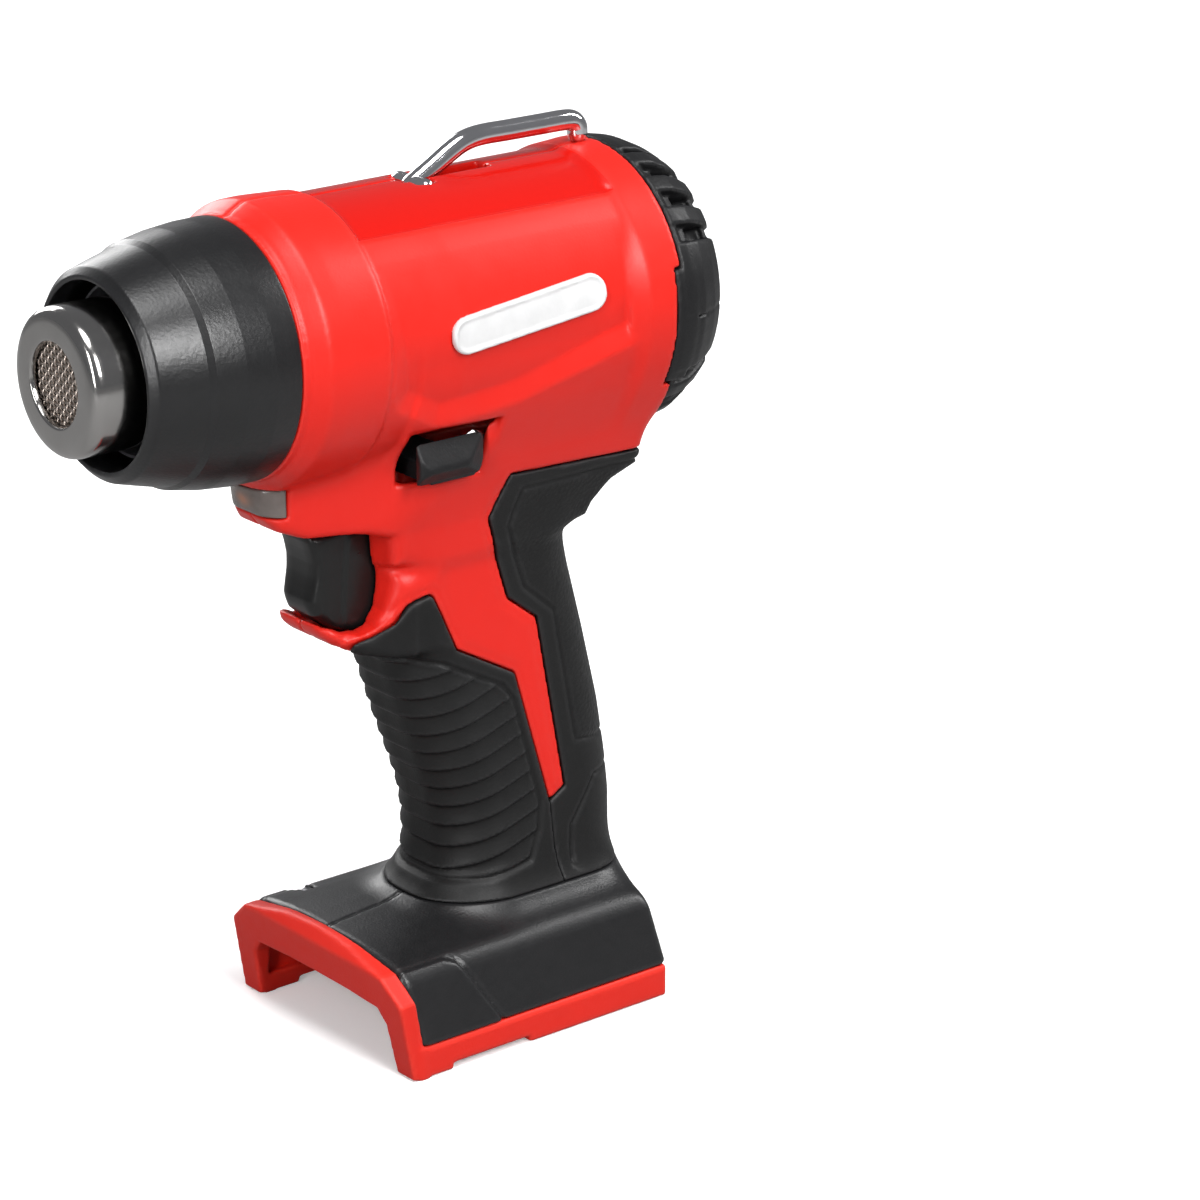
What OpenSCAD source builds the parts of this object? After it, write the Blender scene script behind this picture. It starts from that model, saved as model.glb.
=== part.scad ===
// Compact battery heat gun, bare tool without its battery.
// Frame: origin on the resting face under the foot, +X the way the air blows, +Z up.
// The clamshell parts at the plane y = 0.

/* [Barrel] */
// Height of the barrel axis above the resting face
axis_h = 170; // [165:1:180]
// Outer radius of the barrel
barrel_r = 31.5; // [31:0.5:33]
// Outer radius of the rear rim
rim_r = 34.2; // [33.5:0.1:35]
// How far the rear rim's centre sits below the barrel axis
rim_drop = 2; // [1:0.5:3]
// Where the housing meets the rear cap
rear_x = -42; // [-44:1:-40]
// Where the housing meets the nozzle guard
front_x = 60; // [58:1:61]
// Wall of the housing
wall = 2.4; // [2:0.1:3]

/* [Nozzle] */
// Outer radius of the outlet tube that attachments push onto
nozzle_r = 16.5; // [16:0.1:17.5]
// Front face of the outlet tube
nozzle_x = 103.7; // [102:0.1:106]
// Radius of the outlet mouth
mouth_r = 9.2; // [8:0.1:11]
// Rounding of the outlet tube's front lip
lip_r = 5; // [3:0.5:6]
// Front face of the black guard
guard_x = 94; // [90:1:96]
// Radius of the guard's front opening
guard_open_r = 20.6; // [19:0.1:22]

/* [Handle] */
// Half the width of the grip
grip_half = 17; // [16:0.5:19]
// Depth of the rubber on the grip
rubber = 1.8; // [1.5:0.1:2.2]
// Rake of the grip, in degrees
rake = 12.2; // [11:0.1:14]
// Number of ribs on the front grip
rib_count = 11; // [6:1:12]

/* [Trigger] */
// Travel of the trigger
trigger_travel = 6; // [4:0.5:7]
// Width of the trigger
trigger_w = 15; // [13:0.5:16]
// Travel of the lock button from side to side
lock_travel = 7; // [5:0.5:8]

/* [Foot] */
// Length of the battery foot
foot_len = 75; // [70:1:80]
// Half the width of the battery foot at its resting face
foot_half = 34.2; // [32:0.1:36]
// Half the width of the battery channel
channel_half = 25; // [23:0.5:26]
// Height of the battery channel
channel_h = 16; // [14:0.5:17]

/* [Air] */
// Inner radius of the fan duct
duct_r = 23.6; // [22:0.1:24]
// Radius of the fan wheel
fan_r = 22.6; // [20:0.1:23]
// Number of fan blades
blade_count = 11; // [7:2:13]
// Radius of the motor can
motor_r = 13.8; // [12:0.1:14]
// Turns of the heating coil
coil_turns = 9; // [6:1:12]

/* [Hidden] */
$fn = 64;

gap = 0.4;                       // clearance round moving parts
foot_x = foot_len / 2;
seam_z = 8;                      // where the red foot meets the black base
inner_r = barrel_r - wall;
rim_z = axis_h - rim_drop;
trigger_z = [100.4, 125.4];      // underside and top of the trigger
lock_x = [8, 28];
lock_z = [137.5, 149.5];
lock_out = 28.5;                 // outer face of the lock button at rest
lock_bar_z = [138, 142.5];
hook_r = 2.4;                    // radius of the hook's wire
hook_pivot = [9, 0, 198.8];
hook_run_z = 207.2;              // centre of the wire along the top
hook_tip_x = -38;
hook_bend_x = -6;
hook_knuckle = 0.3;              // how far the knuckles stand proud of the wire
hook_pin_r = 1.5;
hook_pin_length = 13;
hook_drop = 4.2;                 // how far its end turns down
// Screw sites: x, z and half the length of the tube between the shells
screw_sites = [[40, 137, 11], [-20, 129, 15.4], [-18, 110, 11], [-24, 64, 12]];
foot_sites = [[26, 22.9, 24], [-28, 22.9, 24]];
collar_z = 30;                   // where the rubber grips stop above the base
floor_z = channel_h + 2;         // top of the foot's plate
grip_head = 14;                  // depth of the screw heads from the parting plane
foot_head = 22;

// ---- shared shapes -------------------------------------------------------

// Turns a shape drawn along +Z so that it lies along +X on the barrel axis.
module on_axis(z = axis_h) {
    translate([0, 0, z]) rotate([0, 90, 0]) children();
}

// A ring round the barrel axis from x0 to x1.
module ring(x0, x1, r_out, r_in, z = axis_h) {
    on_axis(z) translate([0, 0, x0]) difference() {
        cylinder(h = x1 - x0, r = r_out);
        translate([0, 0, -1]) cylinder(h = x1 - x0 + 2, r = r_in);
    }
}

module rod(x0, x1, r, z = axis_h) {
    on_axis(z) translate([0, 0, x0]) cylinder(h = x1 - x0, r = r);
}

// A profile of [radius, x] points turned round the barrel axis.
module turned(points, z = axis_h) {
    on_axis(z) rotate_extrude() polygon(points);
}

// A side view outline, given in x and z, with its full width in y.
module side_plate(width, y = 0) {
    translate([0, y + width / 2, 0]) rotate([90, 0, 0]) linear_extrude(width) children();
}

module half(side) {
    intersection() {
        children();
        translate([-100, side > 0 ? 0 : -60, -10]) cube([260, 60, 260]);
    }
}

// A block given by its lowest and highest corners.
module block(a, b) {
    translate(a) cube(b - a);
}

// A rounded rectangle centred on the origin.
module round_rect(len, wid, r) {
    square([len - 2 * r, wid], center = true);
    square([len, wid - 2 * r], center = true);
    for (i = [-1, 1], j = [-1, 1])
        translate([i * (len / 2 - r), j * (wid / 2 - r)]) circle(r = r);
}

// ---- housing -------------------------------------------------------------

module barrel_outer() {
    turned([
        [0, rear_x], [barrel_r, rear_x], [barrel_r, 38], [barrel_r + 0.7, 46],
        [barrel_r + 0.7, 53], [barrel_r - 0.6, 57.5], [29.6, front_x], [26.4, front_x],
        [26.4, front_x + 6], [0, front_x + 6]
    ]);
    turned([
        [0, rear_x], [rim_r, rear_x], [rim_r, rear_x + 8], [barrel_r + 1, rear_x + 13],
        [barrel_r + 0.6, 20], [barrel_r - 1, 30], [0, 30]
    ], rim_z);
}

// Side view of the neck from the nose to the back of the barrel.
module neck_side(d = 0) {
    polygon([
        [57.6 - d, 150], [57.6 - d, 137], [56 - d, 132 + d], [52.4 - d, 128 + d],
        [46, 125.8 + d], [26 - d, 125.8 + d], [26 - d, 119], [-28.4 + d, 119],
        [-30 + d, 122], [-35 + d, 126 + d], [-41 + d, 129 + d], [-41 + d, 150]
    ]);
}

// Front view of the neck: it widens into the barrel.
module neck_front(d = 0) {
    points = [[grip_half, 84], [grip_half, 119], [18, 125], [22.5, 138], [25.5, 150]];
    polygon(concat(
        [for (p = points) [p[0] - d, p[1]]],
        [for (i = [len(points) - 1 : -1 : 0]) [d - points[i][0], points[i][1]]]
    ));
}

// Plan of the neck with its rounded nose.
module neck_plan(d = 0) {
    tip = 8.6 - d;
    nose = [for (a = [-56 : 14 : 56]) [49 + tip * cos(a), tip * sin(a)]];
    polygon(concat(nose, [
        [30, 19 - d], [20, 26 - d], [-50, 26 - d], [-50, d - 26], [20, d - 26], [30, d - 19]
    ]));
}

module neck_outer(d = 0) {
    intersection() {
        side_plate(80) neck_side(d);
        translate([-60, 0, 0]) rotate([90, 0, 90]) linear_extrude(130) neck_front(d);
        translate([0, 0, 80]) linear_extrude(75) neck_plan(d);
    }
}

// Side view of the grip, inset by d.
module grip_side(d = 0) {
    polygon([
        [26 - d, 125], [26 - d, 100], [23.5 - d, 96.5], [20.4 - d, 82], [17.6 - d, 73],
        [14 - d, 62.7], [11.4 - d, 55], [10.2 - d, 47], [9.8 - d, 26], [-40.6 + d, 26],
        [-40.4 + d, 46.5], [-39 + d, 60], [-37 + d, 70.5], [-32.5 + d, 89.3],
        [-27.5 + d, 107], [-27 + d, 114], [-29 + d, 120], [-29 + d, 125]
    ]);
}

// The grip, inset by d: a raked prism with rounded corners, cut to the side view.
module grip_solid(d = 0) {
    intersection() {
        side_plate(60) grip_side(d);
        translate([-11, 0, 60]) rotate([0, rake, 0]) translate([0, 0, -60])
            linear_extrude(135) round_rect(52.5 - 2 * d, 2 * (grip_half - d), 13 - d);
    }
}

// The lip under the trigger.
module trigger_lip() {
    intersection() {
        side_plate(60) polygon([[20, 100], [37, 100], [34, 98.2], [29, 96.8], [20, 96]]);
        translate([0, 0, 90]) linear_extrude(20) {
            translate([24, 0]) circle(r = 13);
            translate([10, 0]) square([28, 28], center = true);
        }
    }
}

// What the two-colour skin covers: the neck and the grip.
module skin_form(d = 0) {
    neck_outer(d);
    grip_solid(d);
}

// Side view of the red zone, the front rubber and the rear rubber.
wedge_front = [[23, 96.3], [20, 104.5], [18, 108.8], [10.8, 94], [-5.6, 84.8], [-15.7, 50.4]];
wedge_rear = [[-20.2, 53.1], [-12.1, 96.8], [-3.7, 103.3], [2.7, 124.1], [-1.7, 134.3], [-45, 131]];

module red_side() {
    polygon(concat([[70, 160], [70, 98], [30, 96]], wedge_front, wedge_rear,
                   [[-60, 131], [-60, 160]]));
}

module front_side() {
    polygon(concat(wedge_front, [[-19, collar_z], [45, collar_z], [45, 96.3]]));
}

module rear_side() {
    polygon(concat([[-15.7, 50.4]], wedge_rear, [[-60, 131], [-60, collar_z], [-19, collar_z]]));
}

module housing_solid() {
    difference() {
        union() {
            barrel_outer();
            difference() {
                skin_form(rubber);
                block([-70, -40, 0], [70, 40, collar_z]);
            }
            intersection() {
                skin_form();
                side_plate(90) red_side();
            }
            trigger_lip();
            for (s = screw_sites) screw_boss(s);
        }
        // room for the fan, the motor and the heater
        rod(rear_x - 1, front_x - 3, inner_r);
        rod(front_x - 4, front_x + 7, 24);
        ring(46.2, 48.2, inner_r + 1, inner_r - 1);
        rod(rear_x - 1, rear_x + 6, rim_r - wall, rim_z);
        // room in the neck and the grip
        difference() {
            union() {
                neck_room();
                grip_room();
            }
            for (s = screw_sites) screw_boss(s);
        }
        trigger_room();
        lock_room();
        lens_room();
        panel_room(1);
        panel_room(-1);
        for (s = screw_sites) screw_room(s, grip_head);
        hook_room();
    }
    hook_pocket();
}

module neck_room() {
    neck_outer(rubber + wall);
}

module grip_room() {
    intersection() {
        grip_solid(rubber + wall);
        block([-60, -40, 20], [60, 40, 124]);
    }
}

// The trigger's mouth and the way behind it.
module trigger_room() {
    w = trigger_w + 2 * gap;
    block([14, -w / 2, trigger_z[0] - gap], [60, w / 2, trigger_z[1] + gap]);
}

module lock_room() {
    for (side = [-1, 1]) {
        y = side > 0 ? [17.4, 40] : [-40, -17.4];
        block([lock_x[0] - gap, y[0], lock_z[0] - gap], [lock_x[1] + gap, y[1], lock_z[1] + gap]);
    }
    block([lock_x[0] + 4 - gap, -30, lock_bar_z[0] - gap],
          [lock_x[1] - 4 + gap, 30, lock_bar_z[1] + gap]);
}

module lens_room() {
    block([50.8, -20, 131.8], [70, 20, 138.8]);
}

// The shallow panel on each side of the barrel that holds the badge.
module panel_outline(d = 0) {
    polygon([
        [36 - d, 185 - d], [33.5 - d, 173], [31 - d, 161.5 + d], [22.7 - d, 157 + d],
        [3, 159 + d], [-26.5 + d, 167 + d], [-27.5 + d, 176], [-25 + d, 188 - d]
    ]);
}

module panel_room(side) {
    intersection() {
        side_plate(30, side * 40) panel_outline();
        ring(-40, 45, 50, barrel_r - 0.4);
    }
}

// The slot that the hook's wire swings in, and the seat of its pin.
module hook_room() {
    p = hook_pivot;
    block([p[0] - 20, -hook_r - gap, p[2] - 3.05], [p[0] + 5.9, hook_r + gap, 215]);
    translate(p) rotate([90, 0, 0])
        cylinder(h = hook_pin_length + 0.8, r = hook_pin_r + 0.06, center = true);
}

module hook_pocket() {
    p = hook_pivot;
    difference() {
        union() {
            intersection() {
                block([p[0] - 6, -9.6, p[2] - 3.6], [p[0] + 7.1, 9.6, p[2] + 3]);
                rod(-20, 30, barrel_r);
            }
            block([p[0] - 21, -4.4, p[2] - 3.8], [p[0] + 7.1, 4.4, p[2] - 3.05]);
            for (side = [-1, 1])
                block([p[0] - 21, side * 3.6 - 0.8, p[2] - 3.8], [p[0] + 7.1, side * 3.6 + 0.8, p[2]]);
        }
        hook_room();
    }
}

// The hole of a screw that goes in from the right side.
module screw_room(s, head) {
    translate([s[0], 12, s[1]]) rotate([90, 0, 0]) cylinder(h = 60, r = 1.7);
    translate([s[0], -head, s[1]]) rotate([90, 0, 0]) cylinder(h = 40, r = 3.2);
}

// The tube between the two shells that a screw runs down.
module screw_boss(s, r = 3.8) {
    translate([s[0], 0, s[1]]) rotate([90, 0, 0]) cylinder(h = 2 * s[2], r = r, center = true);
}

module housing_left() {
    color([0.83, 0.08, 0.08]) half(1) housing_solid();
}

module housing_right() {
    color([0.83, 0.08, 0.08]) half(-1) housing_solid();
}

// ---- grips ---------------------------------------------------------------

module rubber_layer() {
    difference() {
        skin_form();
        skin_form(rubber);
        barrel_outer();
        trigger_lip();
        for (s = screw_sites) screw_room(s, grip_head);
        lock_room();
    }
}

// Grooves that run round the front of the grip.
module grip_grooves() {
    for (i = [0 : rib_count - 1])
        translate([13.6 - i * 0.95, 0, 91 - i * 5.1]) rotate([0, rake + 14, 0])
            difference() {
                translate([-16, 0, 0]) cylinder(h = 1.5, r = 31);
                translate([-16, 0, -1]) cylinder(h = 4, r = 26.4);
                translate([-60, -40, -1]) cube([52, 80, 4]);
            }
}

module grip_front() {
    difference() {
        intersection() {
            rubber_layer();
            side_plate(90) front_side();
        }
        grip_grooves();
    }
}

module grip_rear() {
    intersection() {
        rubber_layer();
        side_plate(90) rear_side();
    }
}

module grip_front_left() {
    color([0.07, 0.07, 0.07]) half(1) grip_front();
}

module grip_front_right() {
    color([0.07, 0.07, 0.07]) half(-1) grip_front();
}

module grip_rear_left() {
    color([0.07, 0.07, 0.07]) half(1) grip_rear();
}

module grip_rear_right() {
    color([0.07, 0.07, 0.07]) half(-1) grip_rear();
}

// ---- base and foot -------------------------------------------------------

module base_side(d = 0) {
    polygon([
        [34.6 - d, seam_z], [37.4 - d, 25.4 - d], [36.2 - d, 27.2 - d], [22, 29 - d],
        [8, 30 - d], [-26, 30 - d], [-33 + d, 28 - d], [-36.4 + d, 24.4 - d], [-38.4 + d, seam_z]
    ]);
}

// Half outline in y and z, mirrored.
module mirrored(points) {
    polygon(concat(points, [for (i = [len(points) - 1 : -1 : 0]) [-points[i][0], points[i][1]]]));
}

module base_front(d = 0) {
    mirrored([[34 - d, seam_z], [29.6 - d, 21.4], [26.6 - d, 24.6 - d], [13, 28.2 - d], [0, 30.4 - d]]);
}

module along_x(x0, x1) {
    translate([x0, 0, 0]) rotate([90, 0, 90]) linear_extrude(x1 - x0) children();
}

module base_form(d = 0) {
    intersection() {
        side_plate(90) base_side(d);
        along_x(-50, 50) base_front(d);
    }
}

module base_solid() {
    difference() {
        union() {
            base_form();
            intersection() {
                grip_solid();
                block([-60, -30, 22], [60, 30, collar_z]);
            }
            for (s = foot_sites) screw_boss(s, 3.4);
        }
        difference() {
            base_form(wall);
            for (s = foot_sites) screw_boss(s, 3.4);
        }
        block([-34.6, -30.3, 7], [40, 30.3, floor_z]);
        intersection() {
            grip_solid(rubber + wall);
            block([-60, -30, 20], [60, 30, collar_z + 1]);
        }
        for (s = foot_sites) screw_room(s, foot_head);
    }
}

module base_left() {
    color([0.07, 0.07, 0.07]) half(1) base_solid();
}

module base_right() {
    color([0.07, 0.07, 0.07]) half(-1) base_solid();
}

// Side view of the front arch: it leans forward as it rises.
module arch_side() {
    polygon([[foot_x, 0], [foot_x + 4.4, 25], [foot_x + 2, 28.4], [foot_x + 0.6, 28.4], [33.5, 0]]);
}

module arch_front() {
    difference() {
        mirrored([[foot_half, 0], [33.4, 19.6], [27, 24.8], [13, 27.2], [0, 28]]);
        mirrored([[channel_half + 2.4, -1], [channel_half + 0.6, channel_h - 2.4],
                  [channel_half - 3, channel_h], [0, channel_h + 1]]);
    }
}

module battery_foot() {
    color([0.83, 0.08, 0.08]) difference() {
        union() {
            intersection() {
                side_plate(90) arch_side();
                along_x(20, 60) arch_front();
            }
            block([-foot_x, -foot_half, 0], [34, foot_half, seam_z]);
            block([-34.2, -30, seam_z - 1], [34, 30, floor_z]);
        }
        // the channel and the slots that the battery's rails run in
        block([-28, -channel_half, -1], [36, channel_half, channel_h]);
        block([-28, -channel_half - 4, 5], [36, channel_half + 4, 12]);
        // relief under the sides
        for (side = [-1, 1])
            block([4, side * 30 - 6, -1], [26, side * 30 + 6, 1.6]);
    }
}

module terminal_block() {
    color([0.1, 0.1, 0.1]) difference() {
        block([-28, -14, 6.5], [-12, 14, channel_h]);
        for (y = [-9, -3, 3, 9]) block([-20, y - 0.5, 8], [-11, y + 0.5, 14.5]);
    }
}

module terminal_blades() {
    color([0.8, 0.75, 0.55])
        for (y = [-9, -3, 3, 9]) block([-20, y - 0.4, 8], [0, y + 0.4, 14.5]);
}

// The board that drives the fan and the heater, lying on the foot's plate.
module control_board() {
    color([0.05, 0.3, 0.12]) {
        block([-24, -24, floor_z], [22, 24, floor_z + 1.6]);
        block([-18, 5, floor_z + 1.6], [-8, 17, floor_z + 5]);
        block([-2, -20, floor_z + 1.6], [10, -6, floor_z + 5]);
        translate([14, 12, floor_z + 1.6]) cylinder(h = 4.4, r = 4.4);
        translate([14, 0, floor_z + 1.6]) cylinder(h = 4.4, r = 3.4);
    }
}

// ---- nozzle --------------------------------------------------------------

module nozzle_guard() {
    color([0.05, 0.05, 0.05]) turned([
        [26.5, front_x + 0.1], [29.3, front_x + 0.1], [29.3, 66], [28.6, 73.4], [27.3, 80.2],
        [26.5, 81.6], [25, 86.3], [23.9, guard_x - 2.6], [22.6, guard_x - 0.6],
        [21.4, guard_x], [guard_open_r, guard_x - 0.7], [guard_open_r, guard_x - 4],
        [23, 80], [24.4, 68.2], [26.5, 66.2]
    ]);
}

module nozzle_tube() {
    r = nozzle_r;
    x = nozzle_x;
    color([0.8, 0.8, 0.82]) on_axis() rotate_extrude() difference() {
        union() {
            translate([mouth_r, 38.2]) square([r - mouth_r, x - lip_r - 38.2]);
            translate([mouth_r, x - 5]) square([r - lip_r - mouth_r, 5]);
            translate([r - lip_r, x - lip_r]) circle(r = lip_r);
            translate([r - 1, 46.4]) square([inner_r + 0.8 - r + 1, 1.6]);
        }
        translate([0, 38]) square([r - 1, x - lip_r - 38]);
        translate([0, x - 8]) square([r - lip_r, 7]);
        translate([r - lip_r, x - lip_r]) circle(r = lip_r - 1);
    }
}

module nozzle_mesh() {
    pitch = 2.1;
    color([0.55, 0.5, 0.45]) on_axis() translate([0, 0, nozzle_x - 1.8]) {
        linear_extrude(0.7) intersection() {
            circle(r = mouth_r + 1.6);
            union() for (i = [-5 : 5]) {
                translate([-15, i * pitch - 0.3]) square([30, 0.6]);
                translate([i * pitch - 0.3, -15]) square([0.6, 30]);
            }
        }
        difference() {
            cylinder(h = 0.7, r = mouth_r + 2.2);
            translate([0, 0, -1]) cylinder(h = 3, r = mouth_r + 1.2);
        }
    }
}

// Steel tube that keeps the guard cool, standing on the outlet tube's flange.
module heat_shield() {
    color([0.7, 0.7, 0.7]) turned([
        [18.6, 48], [25, 48], [25, 49], [19.2, 49], [19.2, 86], [18.6, 86]
    ]);
}

module mica_sleeve() {
    color([0.78, 0.74, 0.6]) ring(48, 96, nozzle_r - 1, nozzle_r - 1.9);
}

// Crossed former that carries the coil, with its rear disc.
module heater_core() {
    r = nozzle_r - 3.4;
    color([0.85, 0.82, 0.7]) {
        block([49, -r, axis_h - 0.5], [95, r, axis_h + 0.5]);
        difference() {
            block([49, -0.5, axis_h - r], [95, 0.5, axis_h + r]);
            block([40, -1, axis_h - 0.5], [99, 1, axis_h + 0.5]);
        }
        difference() {
            rod(47.5, 49, nozzle_r - 2);
            for (a = [45 : 90 : 315])
                on_axis() rotate(a) translate([8, 0, 47]) cylinder(h = 3, r = 3.6);
        }
    }
}

module heating_coil() {
    r = nozzle_r - 2.7;
    pitch = 42 / coil_turns;
    color([0.6, 0.55, 0.5]) on_axis() {
        for (i = [0 : coil_turns - 1])
            translate([0, 0, 53 + i * pitch]) rotate_extrude() translate([r, 0]) circle(r = 0.6);
        rotate(45) translate([r, 0, 50]) cylinder(h = 3 + (coil_turns - 1) * pitch, r = 0.6);
    }
}

module thermal_cutout() {
    color([0.75, 0.75, 0.78]) {
        rod(43.5, 47.5, 3.2);
        rod(41.5, 43.5, 1.2);
    }
}

// ---- air -----------------------------------------------------------------

module fan_duct() {
    w = 1.4;
    color([0.25, 0.25, 0.27]) difference() {
        union() {
            turned([
                [duct_r, -31], [duct_r + w, -31], [duct_r + w, 20], [nozzle_r + w, 38],
                [nozzle_r + w + 0.2, 38], [nozzle_r + w + 0.2, 46], [nozzle_r + 0.05, 46],
                [nozzle_r + 0.05, 38], [nozzle_r - 1, 38], [nozzle_r - 1, 37.4], [duct_r, 19.6]
            ]);
            ring(-6, 12, motor_r + 1.5, motor_r + 0.05);
            for (a = [0 : 90 : 270])
                on_axis() rotate(a + 45) translate([motor_r + 0.8, -0.8, -5])
                    cube([duct_r - motor_r, 1.6, 16]);
        }
        for (side = [-1, 1])
            translate([34, side * 6, axis_h - 30]) cylinder(h = 30, r = 1.6);
    }
}

module motor() {
    color([0.7, 0.7, 0.72]) difference() {
        union() {
            rod(-14, 16, motor_r);
            rod(-16.5, -14, 4);
            rod(16, 18, 5);
        }
        rod(-20, 14, 1.2);
    }
}

module motor_shaft() {
    color([0.75, 0.75, 0.78]) rod(-29, 13, 1.15);
}

module fan_wheel() {
    color([0.2, 0.2, 0.22]) difference() {
        union() {
            rod(-28, -17.6, 5.5);
            rod(-19.2, -17.6, fan_r);
            for (i = [0 : blade_count - 1])
                on_axis() rotate(i * 360 / blade_count) translate([5, -0.5, -27.5])
                    intersection() {
                        difference() {
                            translate([8, -14, 0]) cylinder(h = 8.6, r = 17);
                            translate([8, -14, -1]) cylinder(h = 11, r = 16);
                        }
                        translate([-1, 0, 0]) cube([19, 12, 9]);
                    }
        }
        rod(-40, -10, 1.15);
    }
}

// ---- rear cap ------------------------------------------------------------

module cap_profile(d = 0) {
    polygon([
        [0, rear_x - 0.1], [rim_r - 0.2 - d, rear_x - 0.1], [rim_r - 0.9 - d, rear_x - 6],
        [31.4 - d, rear_x - 11 + d / 3], [28 - d, rear_x - 15 + d], [24, rear_x - 16.4 + d],
        [0, rear_x - 16.4 + d]
    ]);
}

module rear_cap() {
    color([0.06, 0.06, 0.06]) difference() {
        union() {
            on_axis(rim_z) rotate_extrude() cap_profile();
            ring(rear_x - 4, rear_x - 0.1, rim_r - wall + 1, rim_r - wall - 1.8, rim_z);
            ring(rear_x - 4, rear_x + 4, rim_r - wall - 0.1, rim_r - wall - 1.8, rim_z);
        }
        difference() {
            on_axis(rim_z) rotate_extrude() cap_profile(2);
            ring(rear_x - 4, rear_x + 4, rim_r, rim_r - wall - 1.8, rim_z);
        }
        // vents round the edge
        for (a = [0 : 15 : 345])
            on_axis(rim_z) rotate(a + 7.5) translate([24, -1.7, rear_x - 12.6])
                cube([14, 3.4, 5.4]);
        // louvres in the back
        for (i = [-3 : 3]) {
            half_w = sqrt(24 * 24 - i * i * 36) - 2;
            block([rear_x - 18, -half_w, rim_z + i * 6 - 1.5],
                  [rear_x - 12, half_w, rim_z + i * 6 + 1.5]);
        }
    }
}

// Dust screen just inside the rear cap.
module intake_screen() {
    color([0.3, 0.3, 0.3]) on_axis(rim_z) translate([0, 0, rear_x - 4.8]) difference() {
        cylinder(h = 0.8, r = 30.6);
        for (i = [-4 : 4], j = [-4 : 4])
            if (norm([i, j]) < 4.3) translate([i * 6 - 2.4, j * 6 - 2.4, -1]) cube([4.8, 4.8, 3]);
    }
}

// ---- controls ------------------------------------------------------------

module trigger() {
    z0 = trigger_z[0];
    z1 = trigger_z[1];
    color([0.05, 0.05, 0.05]) {
        side_plate(trigger_w) difference() {
            polygon([
                [23, z0], [33, z0], [37.4, 101.6], [42.4, 105.4], [44, 109], [44, 123],
                [41.6, z1], [23, z1]
            ]);
            translate([61.2, 116]) circle(r = 18.6);
        }
        translate([6, 0, 112]) rotate([0, 90, 0]) cylinder(h = 17.5, r = 2.2);
    }
}

module trigger_switch() {
    color([0.15, 0.15, 0.17]) difference() {
        block([-12, -7, 102], [12.5, 7, 120]);
        translate([-1, 0, 112]) rotate([0, 90, 0]) cylinder(h = 20, r = 2.28);
    }
}

module trigger_spring() {
    turns = 5;
    color([0.75, 0.75, 0.78]) translate([12.5, 0, 112]) rotate([0, 90, 0])
        for (i = [0 : turns - 1])
            translate([0, 0, 0.5 + i * (9.5 / (turns - 1))]) rotate_extrude()
                translate([3.4, 0]) circle(r = 0.45);
}

module lock_button() {
    y1 = lock_out;
    y0 = lock_travel - lock_out;
    color([0.05, 0.05, 0.05]) {
        block([lock_x[0] + 4, y0 + 2, lock_bar_z[0]], [lock_x[1] - 4, y1 - 3, lock_bar_z[1]]);
        lock_tab(y1, -1);
        lock_tab(y0, 1);
    }
}

// A tab with its outer edges bevelled.
module lock_tab(y, inward) {
    difference() {
        block([lock_x[0], min(y, y + inward * 3.4), lock_z[0]],
              [lock_x[1], max(y, y + inward * 3.4), lock_z[1]]);
        for (i = [0, 1])
            translate([lock_x[i], y, 140]) rotate([0, 0, 45])
                cube([2.4, 2.4, 40], center = true);
    }
}

module led_lens() {
    color([0.75, 0.72, 0.68]) intersection() {
        difference() {
            neck_outer();
            neck_outer(2);
        }
        block([51, -20, 132], [70, 20, 138.6]);
    }
}

module led_board() {
    color([0.9, 0.9, 0.9]) {
        block([47, -3.8, 132.8], [48.2, 3.8, 138.4]);
        translate([48.2, 0, 135.3]) rotate([0, 90, 0]) cylinder(h = 1.6, r = 1.6);
    }
}

// ---- hook, screws, badges, leads -----------------------------------------

module wire(a, b, r) {
    d = b - a;
    translate(a) rotate([0, acos(d[2] / norm(d)), atan2(d[1], d[0])]) cylinder(h = norm(d), r = r);
}

// A wire along points, with a rounded knuckle at each bend.
module bent_wire(points, r) {
    for (i = [0 : len(points) - 2]) wire(points[i], points[i + 1], r);
    for (i = [1 : len(points) - 2]) translate(points[i]) sphere(r = r + hook_knuckle);
}

module hang_hook() {
    p = hook_pivot;
    z = hook_run_z;
    color([0.8, 0.8, 0.82]) {
        bent_wire([p, [hook_bend_x, 0, z], [hook_tip_x, 0, z], [hook_tip_x, 0, z - hook_drop]], hook_r);
        translate(p) rotate([90, 0, 0]) cylinder(h = hook_pin_length, r = hook_pin_r, center = true);
        translate(p) rotate([90, 0, 0]) cylinder(h = 2 * hook_r + 0.2, r = hook_r + 0.3, center = true);
    }
}

module screw(s, head) {
    color([0.35, 0.35, 0.37]) translate([s[0], -head, s[1]]) rotate([-90, 0, 0]) {
        difference() {
            translate([0, 0, -2.2]) cylinder(h = 2.2, r = 2.9);
            translate([0, 0, -3]) cylinder(h = 2.2, r = 1.5, $fn = 6);
        }
        cylinder(h = head + 10, r = 1.5);
    }
}

module housing_screws() {
    for (s = screw_sites) screw(s, grip_head);
}

module foot_screws() {
    for (s = foot_sites) screw(s, foot_head);
}

// A plain pill shaped plate on the side panel.
module badge(side) {
    color([0.9, 0.9, 0.9]) intersection() {
        side_plate(30, side * 40) translate([0, 174]) rotate(-6) round_rect(44, 9, 4.4);
        ring(-40, 45, barrel_r + 0.3, barrel_r - 0.4);
    }
}

module badge_left() {
    badge(1);
}

module badge_right() {
    badge(-1);
}

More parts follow.
